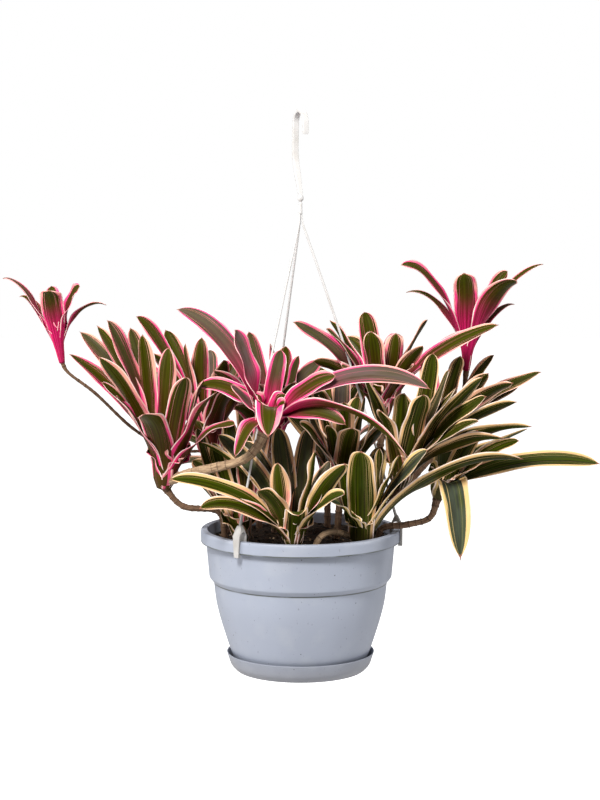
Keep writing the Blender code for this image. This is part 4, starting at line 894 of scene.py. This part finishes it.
def clip_outline():
    """The fork that straddles the rim, drawn as radius and height."""
    outer = RIM_RADIUS + GAP
    inner = inner_radius(RIM_TOP - CLIP_INNER_DROP) - GAP - 0.0006
    crotch = RIM_TOP + CLIP_HEADROOM
    head = crotch + CLIP_HEAD
    middle = (outer + inner) / 2
    toe_top = RIM_TOP - RIM_SKIRT - GAP
    toe_low = toe_top - CLIP_TOE
    toe_in = outer - GAP - CLIP_TOE_REACH
    half = (outer - inner) / 2
    angles = np.linspace(0.0, math.pi, 13)
    arch = [(middle + half * math.cos(a), crotch - half + half * math.sin(a)) for a in angles]
    return [
        (outer + CLIP_THICK, toe_low), (outer + CLIP_THICK, crotch - half),
        (middle + 0.8 * half, crotch + 0.35 * CLIP_HEAD), (middle + ARM_RADIUS * 1.3, head),
        (middle - ARM_RADIUS * 1.3, head), (middle - 0.8 * half, crotch + 0.35 * CLIP_HEAD),
        (inner - CLIP_THICK, crotch - half), (inner - CLIP_THICK, RIM_TOP - CLIP_INNER_DROP),
        (inner, RIM_TOP - CLIP_INNER_DROP), *reversed(arch), (outer, toe_top),
        (toe_in, toe_top), (toe_in, toe_low)]


def clip_shape(heading):
    """The fork's outline filled, thickened and bevelled, then drawn in toward its toe."""
    curve = bpy.data.curves.new("clip", "CURVE")
    curve.dimensions = "2D"
    curve.fill_mode = "BOTH"
    curve.bevel_depth = CLIP_BEVEL
    curve.bevel_resolution = 2
    curve.offset = -CLIP_BEVEL
    curve.extrude = CLIP_WIDTH / 2 - CLIP_BEVEL
    outline = clip_outline()
    spline = curve.splines.new("POLY")
    spline.points.add(len(outline) - 1)
    for point, (x, y) in zip(spline.points, outline):
        point.co = (x, y, 0.0, 1.0)
    spline.use_cyclic_u = True
    guide = placed("clip", curve)
    bpy.context.view_layer.update()
    mesh = bpy.data.meshes.new_from_object(guide.evaluated_get(bpy.context.evaluated_depsgraph_get()))
    bpy.data.objects.remove(guide, do_unlink=True)
    points = mesh_points(mesh)
    faces = [tuple(polygon.vertices) for polygon in mesh.polygons]
    low, high = RIM_TOP - RIM_SKIRT, RIM_TOP + CLIP_HEADROOM
    levels = (low, high - 0.006, high, high + CLIP_HEAD)
    points[:, 2] *= np.interp(points[:, 1], levels, (0.62, 0.95, 1.0, 0.55))
    return stood_up(points, heading), faces


def make_arm(side, heading, material):
    """A straight rod from the hanger's neck down to the fork that clips over the rim."""
    out = stood_up(np.array([[1.0, 0.0, 0.0]]), heading)[0]
    up = np.array((0.0, 0.0, 1.0))
    top = neck_foot() - GAP
    apart = ARM_TOP_RADIUS / math.sin(math.pi / 3) + GAP
    seat = RIM_TOP + CLIP_HEADROOM + 0.4 * CLIP_HEAD
    middle = (RIM_RADIUS + wall_top() - POT_WALL) / 2
    first, second = out * apart + up * top, out * (apart + 0.0012) + up * (top - 0.012)
    last = out * middle + up * seat
    share = np.linspace(0, 1, 40)[:, None]
    line = np.vstack([first, second + (last - second) * share + out * ARM_BOW * np.sin(np.pi * share)])
    widths = (ARM_TOP_RADIUS, ARM_RADIUS, ARM_RADIUS, ARM_RADIUS * 1.4)
    radii = np.interp(np.arange(len(line)), (0, 3, 37, 40), widths)
    rod = swept(line, round_section(radii, 16), np.cross(up, out))
    points, faces = joined([rod, clip_shape(heading)])
    add_piece("hanger_rod_" + side, points, faces, material, "hanger_plastic", ["hanger_arm_" + side],
              sharp=45)


# ---------------------------- plant
def crown_axis(name):
    lean_x, lean_y = CROWNS[name][1]
    axis = np.array([lean_x, lean_y, 1.0])
    return axis / np.linalg.norm(axis)


def ways_aside(reach):
    """Shifts a crowded leaf may have taken, nearest first, with a shorter leaf as the last resort."""
    heading = Vector(reach).normalized()
    side = heading.orthogonal().normalized()
    yield np.zeros(3), 1.0
    for shrink in ASIDE_SHRINKS:
        for size in ASIDE_SIZES:
            for step in range(8):
                way = Matrix.Rotation(step * math.pi / 4, 3, heading) @ side
                yield np.array(way) * size, shrink


def leaf_place(crown, leaf, corners):
    """The shift and shrink whose tip is a corner of the frame's rosette; else as drawn."""
    base, _, _, height, _ = CROWNS[crown]
    root = np.array(base) + crown_axis(crown) * LEAF_ROOT_LEVEL * height
    tip = np.array(leaf[:3])
    for shift, shrink in ways_aside(tip - np.array(base)):
        there = root + (tip - root) * shrink + shift
        if np.min(np.linalg.norm(corners - there, axis=1)) < ASIDE_MATCH:
            return shift, shrink
    return np.zeros(3), 1.0


def leaf_line(crown, leaf, shift, shrink, t):
    """Centre points of a leaf: a cubic Bezier from the rosette's axis to the tip."""
    base, _, (foot, _), height, _ = CROWNS[crown]
    axis = crown_axis(crown)
    tip_x, tip_y, tip_z, _, arch, rise = leaf
    root = np.array(base) + axis * LEAF_ROOT_LEVEL * height
    reach = (np.array((tip_x, tip_y, tip_z)) - root) * shrink
    heading = reach - axis * reach.dot(axis)
    heading /= max(np.linalg.norm(heading), 1e-6)
    length = np.linalg.norm(reach)
    tip = root + reach + shift
    p0 = root + heading * LEAF_ROOT_SHARE * foot
    p1 = p0 + axis * rise * length + heading * 0.10 * length + shift * 0.15
    p2 = 0.42 * p1 + 0.58 * tip + np.array((0.0, 0.0, arch * length))
    t = t[:, None]
    centre = p0 * (1 - t)**3 + 3 * p1 * t * (1 - t)**2 + 3 * p2 * t**2 * (1 - t) + tip * t**3
    return centre, p0, heading, axis, np.array(base) + heading * LEAF_ROOT_SHARE * foot


def leaf_width(crown, t, width):
    """An even strap, rounded off abruptly to a short point; a pup's narrow leaves taper instead."""
    heel = (0.26, 0.42) if crown.startswith("pup") else (0.50, 0.84)
    foot = np.interp(t, (SHEATH_START, 0.0, 0.35), (*heel, 1.0))
    t = np.clip(t, 0, 1)
    if crown.startswith("pup") and width < PUP_STRAP:
        return width * WIDTH_SCALE * foot * (1 - t**1.7)**0.85
    point = 0.09 * np.clip((1.0 - t) / 0.03, 0, 1)
    blade = foot * (1 - np.minimum(t / 0.975, 1)**8)**0.6
    return width * WIDTH_SCALE * np.maximum(blade, point)


def leaf_roll(number, heading, t):
    """How far a blade has turned about its own line: most on the flanks, every third the other way."""
    way = -1.0 if number % 3 == 2 else 1.0
    return math.radians(ROLL) * way * heading[0] * np.clip(t / 0.45, 0, 1)**2


def leaf_surface(crown, number, leaf, shift, shrink, draw):
    """Points, faces and values of one leaf.

    A channelled strap is carried along the leaf's line. Across it, with s from -1 to 1, its
    level is the fold's depth times |s| to the power 1.7 less one, and its margins ripple with
    |s| squared. It is thickest in the middle, twists toward its tip and starts as a sheath that
    runs down the rosette's axis.
    """
    share = np.linspace(0, 1, LEAF_ROWS)
    t = 1 - (1 - share)**1.15
    centre, p0, heading, axis, low = leaf_line(crown, leaf, shift, shrink, t)
    inward = np.linspace(0.45, 0.0, SHEATH_ROWS)[:, None] * heading * LEAF_ROOT_SHARE * CROWNS[crown][2][0]
    sheath = low + (p0 - low) * np.linspace(0.04, 0.85, SHEATH_ROWS)[:, None] - inward
    centre = np.vstack([sheath, centre])
    along = np.concatenate([np.linspace(SHEATH_START, -0.02, SHEATH_ROWS), t])
    slope = np.gradient(centre, axis=0)
    slope /= np.linalg.norm(slope, axis=1)[:, None]
    across = np.cross(axis, heading)
    across = across - slope * (slope @ across)[:, None]
    across /= np.linalg.norm(across, axis=1)[:, None]
    inner = np.cross(slope, across)
    twist = leaf_roll(number, heading, along) + draw.uniform(-0.20, 0.20) * np.clip(along, 0, 1)**1.5
    cos, sin = np.cos(twist)[:, None], np.sin(twist)[:, None]
    across, inner = across * cos + inner * sin, inner * cos - across * sin

    half = leaf_width(crown, along, leaf[3]) / 2
    depth = half * np.interp(along, (0, 0.3, 1), KEEL_SHARE)
    s = np.linspace(1, -1, LEAF_COLUMNS)
    ring = np.concatenate([s, s[::-1]])
    face = np.concatenate([np.ones(LEAF_COLUMNS), -np.ones(LEAF_COLUMNS)])
    phase, pitch = draw.uniform(0, 2 * np.pi, 2), draw.uniform(9, 16)
    ripple = np.sin(pitch * along[:, None] + np.where(ring > 0, phase[0], phase[1]))
    level = -depth[:, None] * (1 - np.abs(ring)**1.7) + RIPPLE * half[:, None] * ripple * ring**2
    level += face * (BLADE_EDGE + (BLADE_THICK - BLADE_EDGE) * (1 - ring**2)) / 2
    offset = across[:, None] * (half[:, None] * ring)[..., None] + inner[:, None] * level[..., None]
    rings = centre[:, None] + offset
    points, faces = sleeve(rings[:-1], centre[0], centre[-1])

    seed = draw.random()
    place = np.stack(np.broadcast_arrays(ring, along[:-1, None], (face + 1) / 2), axis=-1).reshape(-1, 3)
    place = np.vstack([place, [(0, along[0], 0), (0, 1, 0)]])
    flush, pink = np.clip(np.array(CROWNS[crown][4]) + draw.uniform(-0.12, 0.12, 2), 0, 1)
    return points, faces, place, np.tile([seed, flush, pink], (len(points), 1))


def bract_leaves(crown, draw):
    """Short broad sheaths round a rosette's base, at the golden angle to each other."""
    base, _, (_, top), height, _ = CROWNS[crown]
    axis = crown_axis(crown)
    side = np.cross(axis, (0.0, 1.0, 0.0))
    side /= np.linalg.norm(side)
    front = np.cross(axis, side)
    bracts = []
    for number in range(BRACTS):
        angle = number * GOLDEN_ANGLE + draw.uniform(0, 0.4)
        out = side * math.cos(angle) + front * math.sin(angle)
        tip = np.array(base) + axis * height * draw.uniform(1.15, 1.45) + out * top * draw.uniform(1.3, 1.7)
        bracts.append((*tip, 1.5 * top, 0.05, 0.62))
    return bracts


def make_crown(number, name, material):
    """A rosette: its leaves with their sheaths, and short bracts round its base, in one piece."""
    draw = np.random.default_rng(100 + number)
    corners = mesh_points(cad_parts[name].data) - np.array((0, 0, GROUND))
    shapes = []
    for index, leaf in enumerate(np.array(LEAVES[name]) / LEAF_UNITS):
        shift, shrink = leaf_place(name, leaf, corners)
        shapes.append(leaf_surface(name, index, leaf, shift, shrink, draw))
    for bract in bract_leaves(name, draw):
        shapes.append(leaf_surface(name, 0, bract, np.zeros(3), 1.0, draw))
    points, faces, place, tone = joined(shapes)
    slot = "leaf_flushed" if name.startswith("pup") else "leaf_green"
    add_piece(name + "_leaves", points, faces, material, slot, [name], leaf_place=place, leaf_tone=tone)


def stem_end(end, radius):
    """Where a stem ends: in the soil, or at a rosette's foot or side."""
    if end[0] == "soil":
        x, y = end[1:]
        return np.array((x, y, soil_top(x, y) - STEM_DEPTH))
    base, _, (foot, top), height, _ = CROWNS[end[1]]
    axis = crown_axis(end[1])
    if end[0] == "foot":
        return np.array(base) + axis * 0.002
    turn = math.radians(end[2])
    out = np.array((math.sin(turn), -math.cos(turn), 0.0))
    out -= axis * out.dot(axis)
    out /= np.linalg.norm(out)
    level = 0.15 * height + radius
    return np.array(base) + axis * level + out * 0.4 * (foot + top)


def make_stem(number, name, material):
    """A runner: a round rod whose radius steps down at each ring, where a dry sheath ended."""
    draw = np.random.default_rng(300 + number)
    radius, start, between, finish = STEMS[name]
    ends = stem_end(start, radius), stem_end(finish, radius)
    line = smooth_route([ends[0], *between, ends[1]], 24 + 30 * len(between))
    travelled = np.concatenate([[0], np.cumsum(np.linalg.norm(np.diff(line, axis=0), axis=1))])
    pitch = draw.uniform(0.008, 0.012)
    saw = (travelled / pitch + 0.15 * np.sin(travelled * 170)) % 1.0
    swell = 1 + 0.16 * saw**3 + 0.05 * np.sin(travelled * 90 + number)
    if finish[0] == "foot":
        swell += HEEL_SWELL * np.exp(-((travelled[-1] - travelled) / HEEL_LENGTH)**2)
    angle = np.linspace(0, 2 * np.pi, STEM_SIDES, endpoint=False)
    rough = 1 + 0.05 * np.sin(3 * angle + travelled[:, None] * 60)
    rough += 0.03 * draw.standard_normal(rough.shape)
    section = round_section(radius * swell, STEM_SIDES) * rough[..., None]
    points, faces = swept(line, section, (0.25, 0.93, 0.27))
    place = np.stack(np.broadcast_arrays(angle, travelled[:, None], saw[:, None]), axis=-1).reshape(-1, 3)
    place = np.vstack([place, place[0], place[-1]])
    add_piece(name + "_bark", points, faces, material, "stem_bark", [name], stem_place=place)


# ---------------------------- stage, light and camera
VIEW_LIFT = math.radians(6.5)
VIEW_DISTANCE = 3.0
VIEW_TARGET = Vector((-0.0007, 0.0, 0.3745 + GROUND))
VIEW_HEIGHT = 1.096         # what the picture takes in at the target
STAGE_DROP = 0.30           # from the saucer down to the studio floor
STAGE_RADIUS = 9.0
SKY_LIGHT = 0.22            # strength of the surround's light on the object
WARM = (1.0, 0.965, 0.91)   # colour of the lights in front
WHITE = (1.0, 1.0, 1.0)
# Each light: name, place, width and height, watts, colour. All of them aim at the view's target.
LIGHTS = (
    ("key", (-0.9, -2.2, 1.7), (0.8, 0.8), 158, WARM),
    ("left_fill", (-2.3, -0.3, 0.2), (0.6, 1.8), 30, WARM),
    ("right_fill", (2.3, -0.5, 0.3), (0.6, 1.8), 26, WARM),
    ("back_top", (0.4, 1.8, 2.0), (1.5, 1.0), 44, WHITE),
)


def make_camera():
    camera = bpy.data.cameras.new("camera")
    camera.sensor_width = 36.0
    camera.lens = camera.sensor_width * VIEW_DISTANCE / VIEW_HEIGHT
    obj = placed("camera", camera)
    back = Vector((0.0, -math.cos(VIEW_LIFT), math.sin(VIEW_LIFT)))
    obj.location = VIEW_TARGET + back * VIEW_DISTANCE
    obj.rotation_euler = back.to_track_quat("Z", "Y").to_euler()
    bpy.context.scene.camera = obj


def add_light(name, place, size, power, colour):
    light = bpy.data.lights.new(name, "AREA")
    light.shape = "RECTANGLE"
    light.size, light.size_y = size
    light.energy = power
    light.color = colour
    obj = placed(name, light)
    obj.location = place
    aim = VIEW_TARGET - Vector(place)
    obj.rotation_euler = aim.to_track_quat("-Z", "Y").to_euler()


def make_stage():
    """A flat round pale floor under a white surround, and the studio's soft lights."""
    material, tree, shader = finish_material("studio_floor", 0.9, specular=0.1)
    shader.inputs["Base Color"].default_value = (0.55, 0.55, 0.56, 1)
    shader.inputs["Emission Color"].default_value = (1.0, 1.0, 1.0, 1)
    sight = tree.nodes.new("ShaderNodeLightPath")
    tree.links.new(sight.outputs["Is Camera Ray"], shader.inputs["Emission Strength"])
    angle = np.linspace(0, 2 * np.pi, 96, endpoint=False)
    ring = np.stack([STAGE_RADIUS * np.cos(angle), STAGE_RADIUS * np.sin(angle),
                     np.full(96, GROUND - STAGE_DROP)], axis=-1)
    mesh = bpy.data.meshes.new("studio_floor")
    mesh.from_pydata(ring.tolist(), [], [list(range(96))])
    mesh.materials.append(material)
    stage = placed("studio_floor", mesh)
    stage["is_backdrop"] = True

    world = bpy.data.worlds.new("studio")
    world.use_nodes = True
    sky = world.node_tree
    sight = sky.nodes.new("ShaderNodeLightPath")
    sky.nodes["Background"].inputs["Color"].default_value = (1.0, 1.0, 1.0, 1)
    strength = Wire(sky, sight.outputs["Is Camera Ray"]).ramp(0.0, 1.0, SKY_LIGHT, 1.0)
    put(sky, sky.nodes["Background"].inputs["Strength"], strength)
    bpy.context.scene.world = world
    for light in LIGHTS:
        add_light(*light)


def main():
    make_camera()
    make_stage()
    bpy.context.scene.view_settings.view_transform = "Standard"

    specks = speck_group()
    blade = leaf_material(leaf_group())
    pot_look = plastic_material("pot_plastic_look", (0.30, 0.335, 0.42, 1), specks)
    saucer_look = plastic_material("saucer_plastic_look", (0.25, 0.275, 0.34, 1), specks)
    white = hanger_material(specks)
    earth = soil_material()
    bark = bark_material("stem_bark_look", (0.085, 0.045, 0.028, 1), (0.25, 0.155, 0.095, 1))
    pale_bark = bark_material("runner_bark_look", (0.20, 0.125, 0.075, 1), (0.50, 0.36, 0.23, 1))

    make_pot(pot_look)
    make_saucer(saucer_look)
    make_soil(earth)
    make_soil_bits(pale_bark, earth)
    make_hook(white)
    for side, heading in ARM_HEADINGS.items():
        make_arm(side, heading, white)
    for number, name in enumerate(STEMS):
        make_stem(number, name, pale_bark if name in ("stem_front", "runner_surface") else bark)
    for number, name in enumerate(CROWNS):
        make_crown(number, name, blade)


main()

boxes = {"cad": CAD_BOX, "looks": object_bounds()}
{key: [list(corner) for corner in box] for key, box in boxes.items()}
